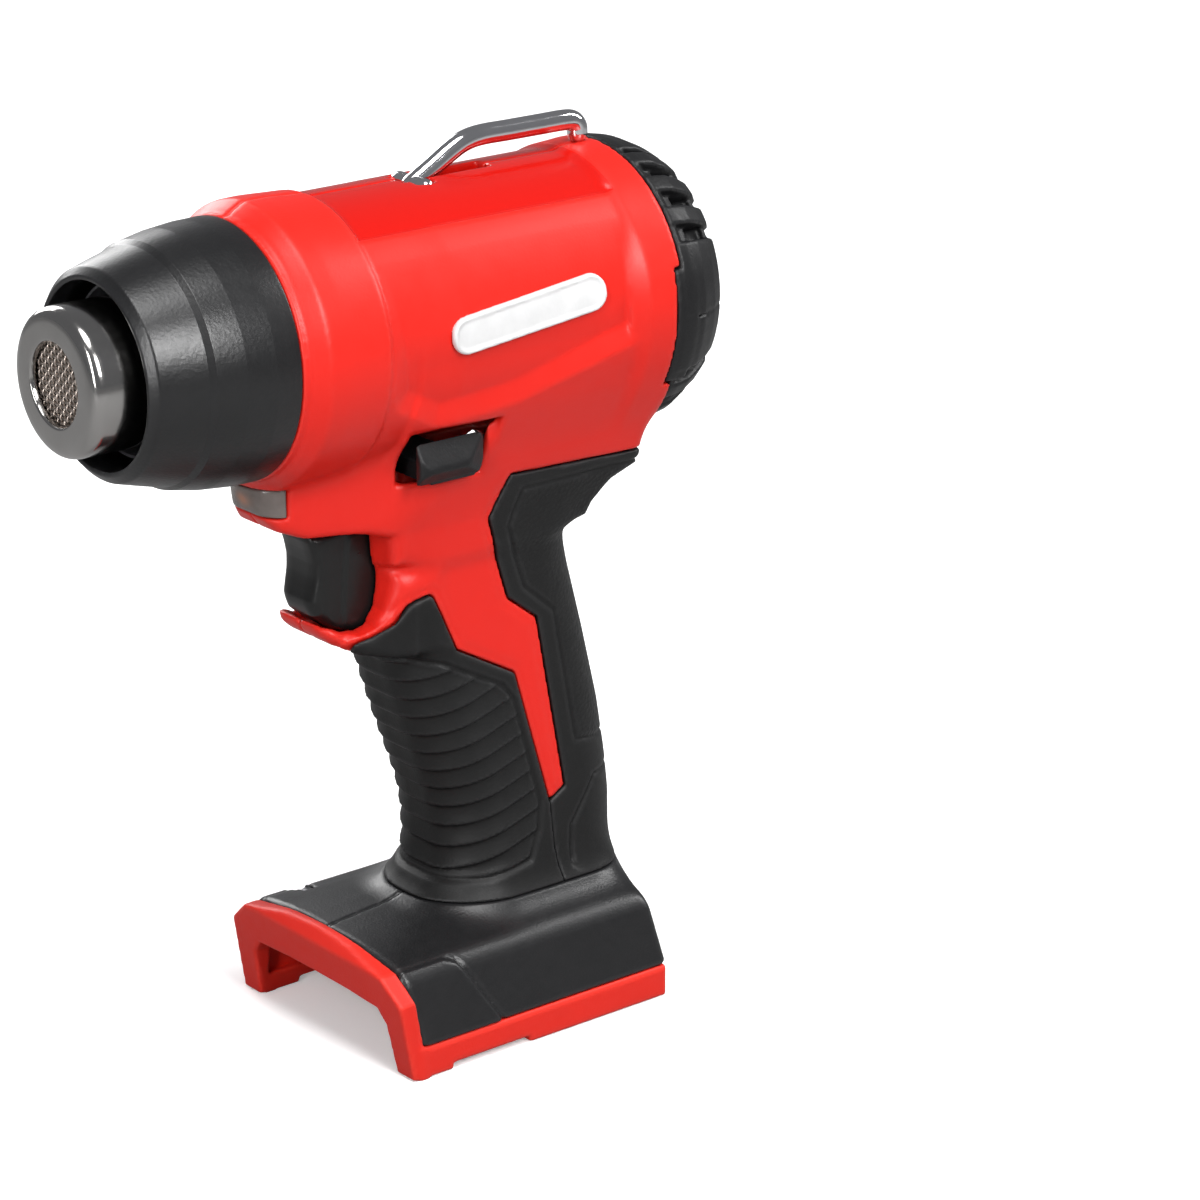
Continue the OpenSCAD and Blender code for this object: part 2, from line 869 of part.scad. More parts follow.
// Flat leads from the board to the switch, and from the switch to the heater.
module power_leads() {
    color([0.7, 0.1, 0.1]) for (side = [-1, 1]) {
        wire([-6, side * 3, floor_z + 1.6], [-6, side * 3, 102], 1);
        block([3, side * 9.2 - 2.2, 118], [5, side * 9.2 + 2.2, 119.8]);
        side_plate(1.6, side * 10.6) polygon([
            [3, 118], [5, 118], [22, 130.8], [26, 131], [35, 137.4], [35, 144], [33, 144],
            [33, 138.4], [25.4, 132.8], [21.6, 132.6], [3, 118.9]
        ]);
        block([33, min(side * 5.2, side * 11.4), 142], [35, max(side * 5.2, side * 11.4), 144]);
        block([33, side * 6 - 0.8, 142], [35, side * 6 + 0.8, 161]);
        block([33, side * 6 - 0.8, 159.4], [47.5, side * 6 + 0.8, 161]);
    }
}

housing_left();
housing_right();
nozzle_guard();
nozzle_tube();
nozzle_mesh();
heat_shield();
mica_sleeve();
heater_core();
heating_coil();
thermal_cutout();
fan_duct();
motor();
motor_shaft();
fan_wheel();
rear_cap();
intake_screen();
control_board();
led_lens();
led_board();
trigger();
trigger_switch();
trigger_spring();
lock_button();
grip_front_left();
grip_front_right();
grip_rear_left();
grip_rear_right();
base_left();
base_right();
battery_foot();
terminal_block();
terminal_blades();
hang_hook();
housing_screws();
foot_screws();
badge_left();
badge_right();
power_leads();
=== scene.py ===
"""Looks for the cordless heat gun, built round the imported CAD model.

Shapes are worked out in millimetres in the shared frame: +X the way the air blows, +Z up,
the gun's left side at +Y. Moulded shells are distance fields that are meshed, turned parts
are lathe profiles, and every piece replaces the CAD node it stands for.
"""
import math

import bpy
import numpy as np
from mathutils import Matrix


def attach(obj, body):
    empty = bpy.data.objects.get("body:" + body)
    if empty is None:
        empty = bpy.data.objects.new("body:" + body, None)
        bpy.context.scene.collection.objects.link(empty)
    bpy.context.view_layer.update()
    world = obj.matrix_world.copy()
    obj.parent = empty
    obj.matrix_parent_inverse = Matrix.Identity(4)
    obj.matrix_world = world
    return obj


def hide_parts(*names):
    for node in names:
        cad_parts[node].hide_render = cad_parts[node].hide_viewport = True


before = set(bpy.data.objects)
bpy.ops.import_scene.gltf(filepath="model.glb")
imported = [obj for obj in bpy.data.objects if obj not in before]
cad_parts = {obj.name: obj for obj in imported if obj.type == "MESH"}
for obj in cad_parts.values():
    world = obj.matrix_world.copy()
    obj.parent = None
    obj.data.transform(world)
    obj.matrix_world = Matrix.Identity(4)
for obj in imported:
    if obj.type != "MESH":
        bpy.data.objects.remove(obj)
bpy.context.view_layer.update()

import openvdb
from mathutils import Vector

MM = 0.001
AXIS_Z = 170.0
RIM_Z = 168.0
REAR_X = -42.0
FRONT_X = 60.0
WALL = 2.4
RUBBER = 1.8
COLLAR_Z = 30.0
SEAM_Z = 8.0
HOUSING_STEP = 0.69
RUBBER_STEP = 0.5
BASE_STEP = 0.55
FOOT_STEP = 0.6
CAP_STEP = 0.5
SMALL_STEP = 0.35
TRIGGER_Z = (100.4, 125.4)
LOCK_X = (8.0, 28.0)
LOCK_Z = (137.5, 149.5)
LOCK_OUT = 28.5
LOCK_TRAVEL = 7.0
HOOK_R = 2.4
HOOK_PIVOT = (9.0, 0.0, 198.8)
SCREW_SITES = ((40, 137), (-20, 129), (-18, 110), (-24, 64))
FOOT_SITES = ((26, 22.9), (-28, 22.9))

# ---- distance field kit --------------------------------------------------


class Grid:
    """A box of sample points, in mm."""

    def __init__(self, low, high, step):
        self.low = np.array(low, float)
        self.step = step
        counts = np.ceil((np.array(high, float) - self.low) / step).astype(int) + 1
        axes = [self.low[i] + step * np.arange(counts[i]) for i in range(3)]
        self.x = axes[0].astype(np.float32)[:, None, None]
        self.y = axes[1].astype(np.float32)[None, :, None]
        self.z = axes[2].astype(np.float32)[None, None, :]


def smooth_min(a, b, k):
    h = np.maximum(k - np.abs(a - b), 0) / k
    return np.minimum(a, b) - h * h * (k / 4)


def smooth_max(a, b, k):
    return -smooth_min(-a, -b, k)


def ramp(value, low, high):
    """0 below low, 1 above high, straight between."""
    return np.clip((value - low) / (high - low), 0, 1)


def outline(u, v, points):
    """Signed distance to a closed outline, negative inside."""
    u, v = np.broadcast_arrays(u, v)
    best = np.full(u.shape, 1e9, np.float32)
    inside = np.zeros(u.shape, bool)
    for i, (bu, bv) in enumerate(points):
        au, av = points[i - 1]
        du, dv = bu - au, bv - av
        t = np.clip(((u - au) * du + (v - av) * dv) / (du * du + dv * dv + 1e-9), 0, 1)
        best = np.minimum(best, (u - au - t * du) ** 2 + (v - av - t * dv) ** 2)
        if dv:
            crosses = (av > v) != (bv > v)
            inside ^= crosses & (u < au + (v - av) * du / dv)
    return (np.sqrt(best) * np.where(inside, -1, 1)).astype(np.float32)


def turned(g, profile, axis_z=AXIS_Z):
    """A profile of (x, radius) points turned round the barrel axis."""
    radius = np.hypot(g.y, g.z - axis_z)[0]
    steps = np.arange(0, 60, 0.2, dtype=np.float32)
    closed = [(x, -r) for x, r in profile[::-1]] + list(profile)
    table = outline(g.x[:, :, 0], steps[None, :], closed)
    flat = radius.ravel()
    rows = [np.interp(flat, steps, row) for row in table]
    return np.stack(rows).reshape((len(table),) + radius.shape).astype(np.float32)


def box_field(g, low, high):
    centre = [(a + b) / 2 for a, b in zip(low, high)]
    half = [(b - a) / 2 for a, b in zip(low, high)]
    dx = np.abs(g.x - centre[0]) - half[0]
    dy = np.abs(g.y - centre[1]) - half[1]
    dz = np.abs(g.z - centre[2]) - half[2]
    return np.maximum(np.maximum(dx, dy), dz)


def round_rect(u, v, half_u, half_v, r):
    du = np.maximum(np.abs(u) - half_u + r, 0)
    dv = np.maximum(np.abs(v) - half_v + r, 0)
    inner = np.minimum(np.maximum(np.abs(u) - half_u + r, np.abs(v) - half_v + r), 0)
    return np.sqrt(du * du + dv * dv) + inner - r


def y_rod(g, x, z, r):
    """A rod along y."""
    return np.hypot(g.x - x, g.z - z) - r


def connected(count, faces, smallest):
    """Which points are in a piece with at least this share of all points."""
    label = np.arange(count)
    pairs = np.concatenate([faces[:, [0, 1]], faces[:, [1, 2]], faces[:, [2, 3]]])
    while True:
        low = np.minimum(label[pairs[:, 0]], label[pairs[:, 1]])
        new = label.copy()
        np.minimum.at(new, pairs[:, 0], low)
        np.minimum.at(new, pairs[:, 1], low)
        new = new[new]
        if (new == label).all():
            break
        label = new
    sizes = np.bincount(label, minlength=count)
    return sizes[label] >= smallest * count


def field_points(g, field, smallest=0.02):
    """The surface of a field as points in mm and four-sided faces."""
    volume = openvdb.FloatGrid(3.0)
    volume.copyFromArray(np.ascontiguousarray(np.clip(field, -3, 3), dtype=np.float32))
    points, _, quads = volume.convertToPolygons(isovalue=0.0, adaptivity=0.0)
    points = np.asarray(points, float) * g.step + g.low
    quads = np.asarray(quads, int)
    keep = connected(len(points), quads, smallest)
    quads = quads[keep[quads[:, 0]]]
    renumber = np.cumsum(keep) - 1
    points, quads = points[keep], renumber[quads]
    a, b, c = (points[quads[:, i]] for i in range(3))
    if np.einsum("ij,ij->i", np.cross(b - a, c - a), a).sum() < 0:
        quads = quads[:, ::-1]
    return points, quads


def mesh_object(name, points, faces, material, smooth=True):
    """A mesh from points in mm."""
    mesh = bpy.data.meshes.new(name)
    faces = np.asarray(faces, np.int32)
    sides = faces.shape[1]
    mesh.vertices.add(len(points))
    mesh.vertices.foreach_set("co", (np.asarray(points) * MM).astype(np.float32).ravel())
    mesh.loops.add(faces.size)
    mesh.loops.foreach_set("vertex_index", faces.ravel())
    mesh.polygons.add(len(faces))
    mesh.polygons.foreach_set("loop_start", np.arange(0, faces.size, sides, dtype=np.int32))
    mesh.update(calc_edges=True)
    mesh.validate()
    if smooth:
        mesh.shade_smooth()
    mesh.materials.append(material)
    piece = bpy.data.objects.new(name, mesh)
    bpy.context.scene.collection.objects.link(piece)
    return piece


def paint(piece, name, mask):
    """Stores a number for each point, for the material to read."""
    layer = piece.data.attributes.new(name, "FLOAT", "POINT")
    layer.data.foreach_set("value", np.asarray(mask, np.float32))


def edge_mask(points, faces):
    """How strongly the surface turns outward at each point."""
    # The materials paint a lighter highlight colour where this mask is high.
    count = len(points)
    a, c = points[faces[:, 0]], points[faces[:, 2]]
    b, d = points[faces[:, 1]], points[faces[:, 3]]
    face_normal = np.cross(c - a, d - b)
    normal = np.zeros((count, 3))
    total = np.zeros((count, 3))
    uses = np.zeros(count)
    for i in range(4):
        np.add.at(normal, faces[:, i], face_normal)
        np.add.at(total, faces[:, i], points[faces[:, (i + 1) % 4]])
        np.add.at(uses, faces[:, i], 1)
    normal /= np.linalg.norm(normal, axis=1, keepdims=True) + 1e-12
    offset = points - total / np.maximum(uses, 1)[:, None]
    return np.clip(np.einsum("ij,ij->i", offset, normal) * 6, 0, 1)


def both_sides(g, field):
    """A grid and field for both sides, from the y >= 0 side of a symmetric one."""
    first = int(round(-g.low[1] / g.step))
    whole = Grid(g.low, g.low, g.step)
    whole.low = g.low * np.array([1, 0, 1]) - np.array([0, (field.shape[1] - 1 - first) * g.step, 0])
    return whole, np.concatenate([field[:, :first:-1], field[:, first:]], axis=1)


def shell(name, node, body, g, field, material, mirrored=False, masks=None):
    """Meshes a field as the piece that stands for a CAD node."""
    points, faces = field_points(g, field)
    if mirrored:
        points = points * np.array([1, -1, 1])
        faces = faces[:, ::-1]
    piece = mesh_object(name, points, faces, material)
    paint(piece, "edge", edge_mask(points, faces))
    for key, function in (masks or {}).items():
        paint(piece, key, function(points))
    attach(piece, body)
    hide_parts(node)
    return piece


# ---- lathe kit -----------------------------------------------------------


def rounded(points, radii, steps=5):
    """A closed outline with its corners rounded."""
    result = []
    count = len(points)
    for i in range(count):
        p = np.array(points[i], float)
        before = np.array(points[i - 1], float) - p
        after = np.array(points[(i + 1) % count], float) - p
        r = radii[i] if hasattr(radii, "__len__") else radii
        len_b, len_a = np.linalg.norm(before), np.linalg.norm(after)
        if r <= 0 or len_b < 1e-6 or len_a < 1e-6:
            result.append(tuple(p))
            continue
        before, after = before / len_b, after / len_a
        angle = math.acos(float(np.clip(before @ after, -1, 1)))
        if angle > math.pi - 0.05:
            result.append(tuple(p))
            continue
        cut = min(r / math.tan(angle / 2), 0.48 * len_b, 0.48 * len_a)
        for k in range(steps + 1):
            t = k / steps
            q = (1 - t) ** 2 * (p + before * cut) + 2 * t * (1 - t) * p + t * t * (p + after * cut)
            result.append(tuple(q))
    return result


def lathe(name, profile, material, axis_z=AXIS_Z, turns=160):
    """A closed profile of (x, radius) points turned round the barrel axis."""
    count = len(profile)
    angles = np.arange(turns) * 2 * math.pi / turns
    profile = np.array(profile, float)
    x = np.repeat(profile[:, 0][None], turns, 0)
    y = profile[:, 1][None] * np.sin(angles)[:, None]
    z = axis_z + profile[:, 1][None] * np.cos(angles)[:, None]
    points = np.stack([x, y, z], -1).reshape(-1, 3)
    i, j = np.meshgrid(np.arange(turns), np.arange(count), indexing="ij")
    ni, nj = (i + 1) % turns, (j + 1) % count
    faces = np.stack([i * count + j, i * count + nj, ni * count + nj, ni * count + j], -1)
    faces = faces.reshape(-1, 4)
    a, b, c = (points[faces[:, k]] for k in range(3))
    if np.einsum("ij,ij->i", np.cross(b - a, c - a), a - [0, 0, axis_z]).sum() < 0:
        faces = faces[:, ::-1]
    return mesh_object(name, points, faces, material)


def tube_points(path, radius, sides=12):
    """Points and faces of a round tube along a path; the radius may vary along it."""
    path = np.array(path, float)
    tangent = np.gradient(path, axis=0)
    tangent /= np.linalg.norm(tangent, axis=1, keepdims=True)
    side = np.cross(tangent, [0.0, 1.0, 0.02])
    side /= np.linalg.norm(side, axis=1, keepdims=True)
    up = np.cross(side, tangent)
    angles = np.arange(sides) * 2 * math.pi / sides
    radius = np.broadcast_to(radius, len(path))[:, None, None]
    ring = np.cos(angles)[None, :, None] * side[:, None] + np.sin(angles)[None, :, None] * up[:, None]
    points = (path[:, None] + radius * ring).reshape(-1, 3)
    i, j = np.meshgrid(np.arange(len(path) - 1), np.arange(sides), indexing="ij")
    nj = (j + 1) % sides
    faces = np.stack([i * sides + j, i * sides + nj, (i + 1) * sides + nj, (i + 1) * sides + j], -1)
    return points, faces.reshape(-1, 4)


def round_ended(path, radius, steps=5):
    """Adds points and radii that close a tube's ends with a dome."""
    path = np.array(path, float)
    start = path[0] - path[1]
    start /= np.linalg.norm(start)
    end = path[-1] - path[-2]
    end /= np.linalg.norm(end)
    angles = [math.pi / 2 * (k + 1) / steps for k in range(steps)]
    head = [path[0] + start * radius * math.sin(a) for a in angles][::-1]
    tail = [path[-1] + end * radius * math.sin(a) for a in angles]
    caps = [radius * max(math.cos(a), 0.02) for a in angles]
    radii = caps[::-1] + [radius] * len(path) + caps
    return np.concatenate([head, path, tail]), np.array(radii)


def spline(points, per_span=10):
    """A smooth curve through the points."""
    p = np.array(points, float)
    p = np.concatenate([[2 * p[0] - p[1]], p, [2 * p[-1] - p[-2]]])
    result = []
    for i in range(1, len(p) - 2):
        for k in range(per_span):
            t = k / per_span
            a = 2 * p[i]
            b = p[i + 1] - p[i - 1]
            c = 2 * p[i - 1] - 5 * p[i] + 4 * p[i + 1] - p[i + 2]
            d = -p[i - 1] + 3 * p[i] - 3 * p[i + 1] + p[i + 2]
            result.append(0.5 * (a + b * t + c * t * t + d * t ** 3))
    result.append(p[-2])
    return result


# ---- materials -----------------------------------------------------------


class Paint:
    """A node material with a few shortcuts."""

    def __init__(self, name, colour, rough, metallic=0.0, specular=0.5, coat=0.0, coat_rough=0.1):
        self.material = bpy.data.materials.new(name)
        self.material.use_nodes = True
        self.material.diffuse_color = (*colour, 1)
        self.tree = self.material.node_tree
        self.shader = self.tree.nodes["Principled BSDF"]
        self.shader.inputs["Base Color"].default_value = (*colour, 1)
        self.shader.inputs["Roughness"].default_value = rough
        self.shader.inputs["Metallic"].default_value = metallic
        self.shader.inputs["Specular IOR Level"].default_value = specular
        self.shader.inputs["Coat Weight"].default_value = coat
        self.shader.inputs["Coat Roughness"].default_value = coat_rough
        self.coords = self.node("ShaderNodeTexCoord").outputs["Object"]

    def node(self, kind, **values):
        made = self.tree.nodes.new(kind)
        for key, value in values.items():
            setattr(made, key, value)
        return made

    def link(self, a, b):
        self.tree.links.new(a, b)

    def math(self, operation, a, b=None, clamp=False):
        made = self.node("ShaderNodeMath", operation=operation, use_clamp=clamp)
        for i, value in enumerate((a, b)):
            if value is None:
                continue
            if isinstance(value, (int, float)):
                made.inputs[i].default_value = value
            else:
                self.link(value, made.inputs[i])
        return made.outputs[0]

    def noise(self, size_mm, detail=2.0, stretch=None):
        """Noise whose features are about this size."""
        made = self.node("ShaderNodeTexNoise")
        made.inputs["Scale"].default_value = 1 / (size_mm * MM)
        made.inputs["Detail"].default_value = detail
        source = self.coords
        if stretch:
            mapping = self.node("ShaderNodeMapping")
            mapping.inputs["Scale"].default_value = stretch
            self.link(source, mapping.inputs["Vector"])
            source = mapping.outputs[0]
        self.link(source, made.inputs["Vector"])
        return made.outputs["Fac"]

    def pebble(self, size_mm):
        made = self.node("ShaderNodeTexVoronoi")
        made.inputs["Scale"].default_value = 1 / (size_mm * MM)
        self.link(self.coords, made.inputs["Vector"])
        return made.outputs["Distance"]

    def mask(self, name):
        made = self.node("ShaderNodeAttribute", attribute_name=name)
        return made.outputs["Fac"]

    def mix(self, factor, a, b):
        made = self.node("ShaderNodeMix", data_type="RGBA")
        self.link(factor, made.inputs["Factor"])
        for socket, value in ((made.inputs[6], a), (made.inputs[7], b)):
            if isinstance(value, tuple):
                socket.default_value = (*value, 1)
            else:
                self.link(value, socket)
        return made.outputs[2]

    def spread(self, value, low, high):
        """Maps 0..1 to low..high."""
        made = self.node("ShaderNodeMapRange")
        made.inputs["To Min"].default_value = low
        made.inputs["To Max"].default_value = high
        self.link(value, made.inputs["Value"])
        return made.outputs[0]

    def colour(self, socket):
        self.link(socket, self.shader.inputs["Base Color"])

    def rough(self, socket):
        self.link(socket, self.shader.inputs["Roughness"])

    def bump(self, height, depth_mm, strength=1.0):
        made = self.node("ShaderNodeBump")
        made.inputs["Distance"].default_value = depth_mm * MM
        made.inputs["Strength"].default_value = strength
        self.link(height, made.inputs["Height"])
        self.link(made.outputs[0], self.shader.inputs["Normal"])


def shade(colour, factor):
    return tuple(min(c * factor, 1.0) for c in colour)


def red_plastic():
    """Satin moulded red, with a glossier and deeper strip along the top."""
    red = (0.62, 0.012, 0.006)
    p = Paint("red_plastic", red, 0.38, specular=0.35)
    tone = p.mix(p.spread(p.noise(22, 3), 0.25, 0.75), shade(red, 0.94), shade(red, 1.07))
    tone = p.mix(p.mask("gloss"), tone, (0.5, 0.006, 0.003))
    # Painted highlight: convex edges get a lighter red, broken up by noise.
    painted_edge_highlight = p.math("MULTIPLY", p.mask("edge"), p.spread(p.noise(1.4, 4), 0.0, 0.5))
    p.colour(p.mix(painted_edge_highlight, tone, (0.72, 0.05, 0.035)))
    satin = p.spread(p.noise(5, 4), 0.33, 0.45)
    keep = p.math("SUBTRACT", 1.0, p.mask("gloss"))
    p.rough(p.math("ADD", p.math("MULTIPLY", satin, keep), p.math("MULTIPLY", p.mask("gloss"), 0.16)))
    grain = p.math("MULTIPLY", p.noise(0.55, 3), keep)
    p.bump(grain, 0.05, 0.55)
    return p.material


def foot_red():
    """The foot's harder red, with a grained surface."""
    red = (0.6, 0.016, 0.008)
    p = Paint("foot_red", red, 0.45, specular=0.3)
    tone = p.mix(p.spread(p.noise(12, 3), 0.2, 0.8), shade(red, 0.92), shade(red, 1.08))
    # Painted highlight: convex edges get a lighter red, broken up by noise.
    painted_edge_highlight = p.math("MULTIPLY", p.mask("edge"), p.spread(p.noise(0.9, 4), 0.0, 0.6))
    p.colour(p.mix(painted_edge_highlight, tone, (0.86, 0.09, 0.06)))
    p.rough(p.spread(p.noise(3, 4), 0.4, 0.55))
    p.bump(p.noise(0.6, 4), 0.07, 0.6)
    return p.material


def black_plastic(name="black_plastic", grain_mm=0.8, depth=0.06, rough=(0.36, 0.5), specular=0.3):
    """Moulded black with a fine leather-like grain."""
    black = (0.006, 0.006, 0.0065)
    p = Paint(name, black, rough[0], specular=specular)
    tone = p.mix(p.noise(14, 3), shade(black, 0.85), shade(black, 1.3))
    # Painted highlight: convex edges get a lighter grey, broken up by noise.
    painted_edge_highlight = p.math("MULTIPLY", p.mask("edge"), p.spread(p.noise(1.1, 4), 0.0, 0.7))
    p.colour(p.mix(painted_edge_highlight, tone, (0.03, 0.03, 0.032)))
    p.rough(p.spread(p.noise(2.6, 4), *rough))
    height = p.math("ADD", p.math("MULTIPLY", p.pebble(grain_mm), 0.7), p.noise(grain_mm * 0.6, 3))
    p.bump(height, depth, 0.6)
    return p.material


def grip_rubber():
    """Soft black overmould, smooth at its border and pebbled on its panels."""
    p = Paint("grip_rubber", (0.006, 0.006, 0.006), 0.5, specular=0.28)
    # Painted highlight: convex edges and rib ridges get a lighter grey over a near-black tone that varies
    # with noise.
    p.colour(p.mix(p.mask("edge"), p.mix(p.noise(9, 4), (0.004, 0.004, 0.004), (0.008, 0.008, 0.008)),
                   (0.03, 0.03, 0.031)))
    p.rough(p.spread(p.noise(2.2, 4), 0.42, 0.58))
    panel = p.math("MULTIPLY", p.pebble(1.1), p.mask("panel"))
    p.bump(p.math("ADD", p.math("MULTIPLY", panel, 3.0), p.noise(0.5, 3)), 0.06, 0.7)
    return p.material


def smooth_black():
    """The trigger's polished black."""
    p = Paint("smooth_black", (0.012, 0.012, 0.013), 0.28, specular=0.35)
    p.colour(p.mix(p.noise(10, 3), (0.005, 0.005, 0.005), (0.009, 0.009, 0.009)))
    p.rough(p.spread(p.noise(3, 4), 0.24, 0.36))
    p.bump(p.noise(0.5, 2), 0.02, 0.4)
    return p.material


def steel(name, colour, rough, streak=(1, 1, 1), size=1.5, depth=0.012):
    """Metal with fine lines from forming."""
    p = Paint(name, colour, rough[0], metallic=1.0)
    fine = p.noise(size, 5, streak)
    p.colour(p.mix(p.noise(8, 3), shade(colour, 0.85), shade(colour, 1.08)))
    p.rough(p.spread(fine, *rough))
    p.bump(fine, depth, 0.5)
    return p.material


def plain(name, colour, rough, metallic=0.0, size=2.0, depth=0.03):
    """A plain engineering finish with slight variation."""
    p = Paint(name, colour, rough, metallic=metallic)
    p.colour(p.mix(p.noise(6, 4), shade(colour, 0.85), shade(colour, 1.12)))
    p.rough(p.spread(p.noise(size, 4), max(rough - 0.07, 0.05), min(rough + 0.08, 1.0)))
    p.bump(p.noise(size * 0.4, 3), depth, 0.5)
    return p.material


def smoky_lens():
    """Smoky plastic with a faint warm centre."""
    p = Paint("smoky_lens", (0.2, 0.17, 0.15), 0.16, specular=0.6)
    p.shader.inputs["Transmission Weight"].default_value = 0.35
    p.colour(p.mix(p.mask("warm"), p.mix(p.noise(3, 3), (0.13, 0.11, 0.1), (0.26, 0.22, 0.2)),
                   (0.5, 0.2, 0.1)))
    p.rough(p.spread(p.noise(2, 3), 0.12, 0.26))
    p.bump(p.noise(0.7, 2), 0.03, 0.4)
    return p.material

# ---- forms shared by several pieces --------------------------------------

GRIP_FRONT = ((20, 9.9), (30, 9.8), (39, 9.7), (46.6, 9.9), (51.7, 10.6), (57.2, 12.1), (62.7, 14.1),
              (73.6, 18), (81.6, 20.6), (92.7, 23.9), (97, 25.6), (101, 27), (106, 27.5), (126, 28))
GRIP_REAR = ((20, -40.6), (46.5, -40.4), (55.8, -39.4), (70.5, -37), (89.3, -32.5), (106.5, -28),
             (111, -27.1), (114.1, -26.9), (117, -27.4), (119.9, -28.7), (123, -31), (126, -34))
WEDGE_FRONT = [(30, 105.4), (27, 106.8), (18.4, 108.9), (17.4, 108.2), (10.8, 94), (-5.6, 84.8),
               (-15.7, 50.4)]
WEDGE_REAR = [(-20.2, 53.1), (-12.1, 96.8), (-3.7, 103.3), (2.7, 124.1), (-1.7, 134.3)]
RED_ZONE = [(70, 210), (70, 105.4)] + WEDGE_FRONT + WEDGE_REAR + [(-60, 132), (-60, 210)]
PANEL = [(36, 189), (33.5, 173.2), (31.6, 161.6), (22.7, 157), (3, 159), (-27.8, 167.5), (-27.5, 189)]
RIB_PANEL = [(14.5, 91.3), (-2, 82.5), (-5.5, 78), (-12.7, 51.2), (-12.1, 43.8), (-9.6, 36.8),
             (2.3, 35), (30, 33), (34, 95)]
STRAP_PANEL = [(-3, 121), (-8.5, 105), (-17.2, 97.5), (-23.5, 64), (-60, 58), (-60, 130), (-6, 130)]
HEEL_PATCH = [(-29.3, 53.6), (-22, 42.7), (-21.6, 33.1), (-27.1, 28.5), (-60, 28.5), (-60, 53.6)]
PARTING = 0.08


def smooth_table(g, table):
    """A table of (z, x) read along z, with its corners eased."""
    z, x = np.array(table, float).T
    fine = np.interp(np.linspace(10, 140, 651), z, x)
    kernel = np.hanning(25)
    eased = np.convolve(np.pad(fine, 12, mode="edge"), kernel / kernel.sum(), mode="valid")
    return np.interp(g.z, np.linspace(10, 140, 651), eased).astype(np.float32)


def grip_field(g):
    """The hand grip: a rounded bar that follows its side view."""
    front, rear = smooth_table(g, GRIP_FRONT), smooth_table(g, GRIP_REAR)
    middle, half = (front + rear) / 2, (front - rear) / 2
    u = (g.x - middle) * 0.977
    crown = 0.8 * np.clip(1 - (u / half) ** 2, 0, 1)
    field = round_rect(u, g.y, half * 0.977, 16.4 + crown, 13.5)
    return smooth_max(field, g.z - 133, 2.0)


def barrel_field(g):
    """The red barrel with its collar, its rear rim, its glossy strip and its side panels."""
    angle = np.degrees(np.arctan2(np.abs(g.y), g.z - AXIS_Z))
    core = turned(g, [(-43, 0), (-43, 31.5), (37.6, 31.2), (37.6, 0)])
    strip = ramp(angle, 37.6, 39.4)
    along = outline(g.x, g.z, PANEL)
    depth = 2.3 * ramp(190 - g.z, 0, 24) * (1 - np.clip(along / 5.2, 0, 1))
    low = turned(g, [(-43, 0), (-43, 32.2), (18, 32.2), (30, 30.6), (30, 0)], RIM_Z)
    core = smooth_min(core, low, 1.5)
    core = core + np.where(g.x > -33, (1 - strip) * 0.7, 0) + depth
    collar = turned(g, [(36, 0), (36, 29.4), (38.6, 31.6), (49.6, 32.1), (54.4, 32.0), (57.4, 30.3),
                        (58.4, 29.5), (FRONT_X - 0.1, 29.5), (FRONT_X - 0.1, 0)])
    rim = turned(g, [(REAR_X + 0.1, 0), (REAR_X + 0.1, 34.2), (-32.6, 33.4), (-28.4, 31.4), (-28.4, 0)],
                 RIM_Z)
    field = smooth_min(smooth_min(core, collar, 0.5), rim, 0.8)
    return smooth_max(field, REAR_X + 0.1 - g.x, 0.6)


def neck_field(g):
    """The neck under the barrel, with its rounded nose."""
    side = outline(g.x, g.z, [(58.2, 152), (57.9, 140), (57.2, 136.6), (56, 132.4), (52.8, 128.4),
                              (46.4, 125.9), (34, 125.7), (28.4, 124), (27.6, 117), (-27.5, 118), (-29, 121),
                              (-34, 125.8), (-41, 128.9), (-41, 152)])
    half_plan = smooth_table_x(g, [(-60, 27), (10, 26), (20, 22.5), (30, 17.8), (40, 13.4), (49, 10.4),
                                   (53, 8.9), (56, 6.4), (57.6, 3.4), (58.2, 0)])
    half_front = np.interp(g.z, [84, 119, 125, 138, 150, 160], [17, 17, 18, 22.5, 26, 29])
    half = smooth_min(half_plan, half_front.astype(np.float32), 3.0)
    return smooth_max(side, np.abs(g.y) - half, 3.2)


def smooth_table_x(g, table):
    x, y = np.array(table, float).T
    return np.interp(g.x, x, y).astype(np.float32)


def lip_field(g):
    """The lip that curls under the trigger."""
    side = outline(g.x, g.z, [(16, 114), (26, 114), (28.4, 106), (32.6, 102.2), (37.6, 102.4), (41.4, 104.6),
                              (43, 103.8), (42, 101.4), (38.6, 98.6), (33.6, 96.2), (27, 94.6), (22, 94.2),
                              (14, 96)])
    half = smooth_table_x(g, [(0, 17.2), (22, 16.6), (28, 15), (34, 13), (40, 10.8), (43, 9)])
    return smooth_max(side, np.abs(g.y) - half, 3.6)


def body_form(g):
    """The whole outside of the barrel, neck and grip."""
    barrel = barrel_field(g)
    neck = neck_field(g)
    grip = grip_field(g)
    lower = smooth_min(neck, grip, 5.0)
    lower = smooth_min(lower, lip_field(g), 3.0)
    return smooth_min(barrel, lower, 5.0)


def trigger_hole(g):
    side = outline(g.x, g.z, [(14, 100), (33, 100), (37.8, 101.1), (43.2, 105), (70, 120), (70, 125.8),
                              (14, 125.8)])
    wide = outline(g.x, g.z, [(30.6, 102.6), (34, 101.8), (38, 102.8), (44, 106), (70, 120), (70, 125.8),
                              (36, 125.8), (31.6, 124.4), (29.2, 120.4), (28.4, 114), (28.8, 107)])
    open_side = smooth_max(wide, 7 - np.abs(g.y), 1.0)
    return np.minimum(smooth_max(side, np.abs(g.y) - 7.9, 0.8), open_side)


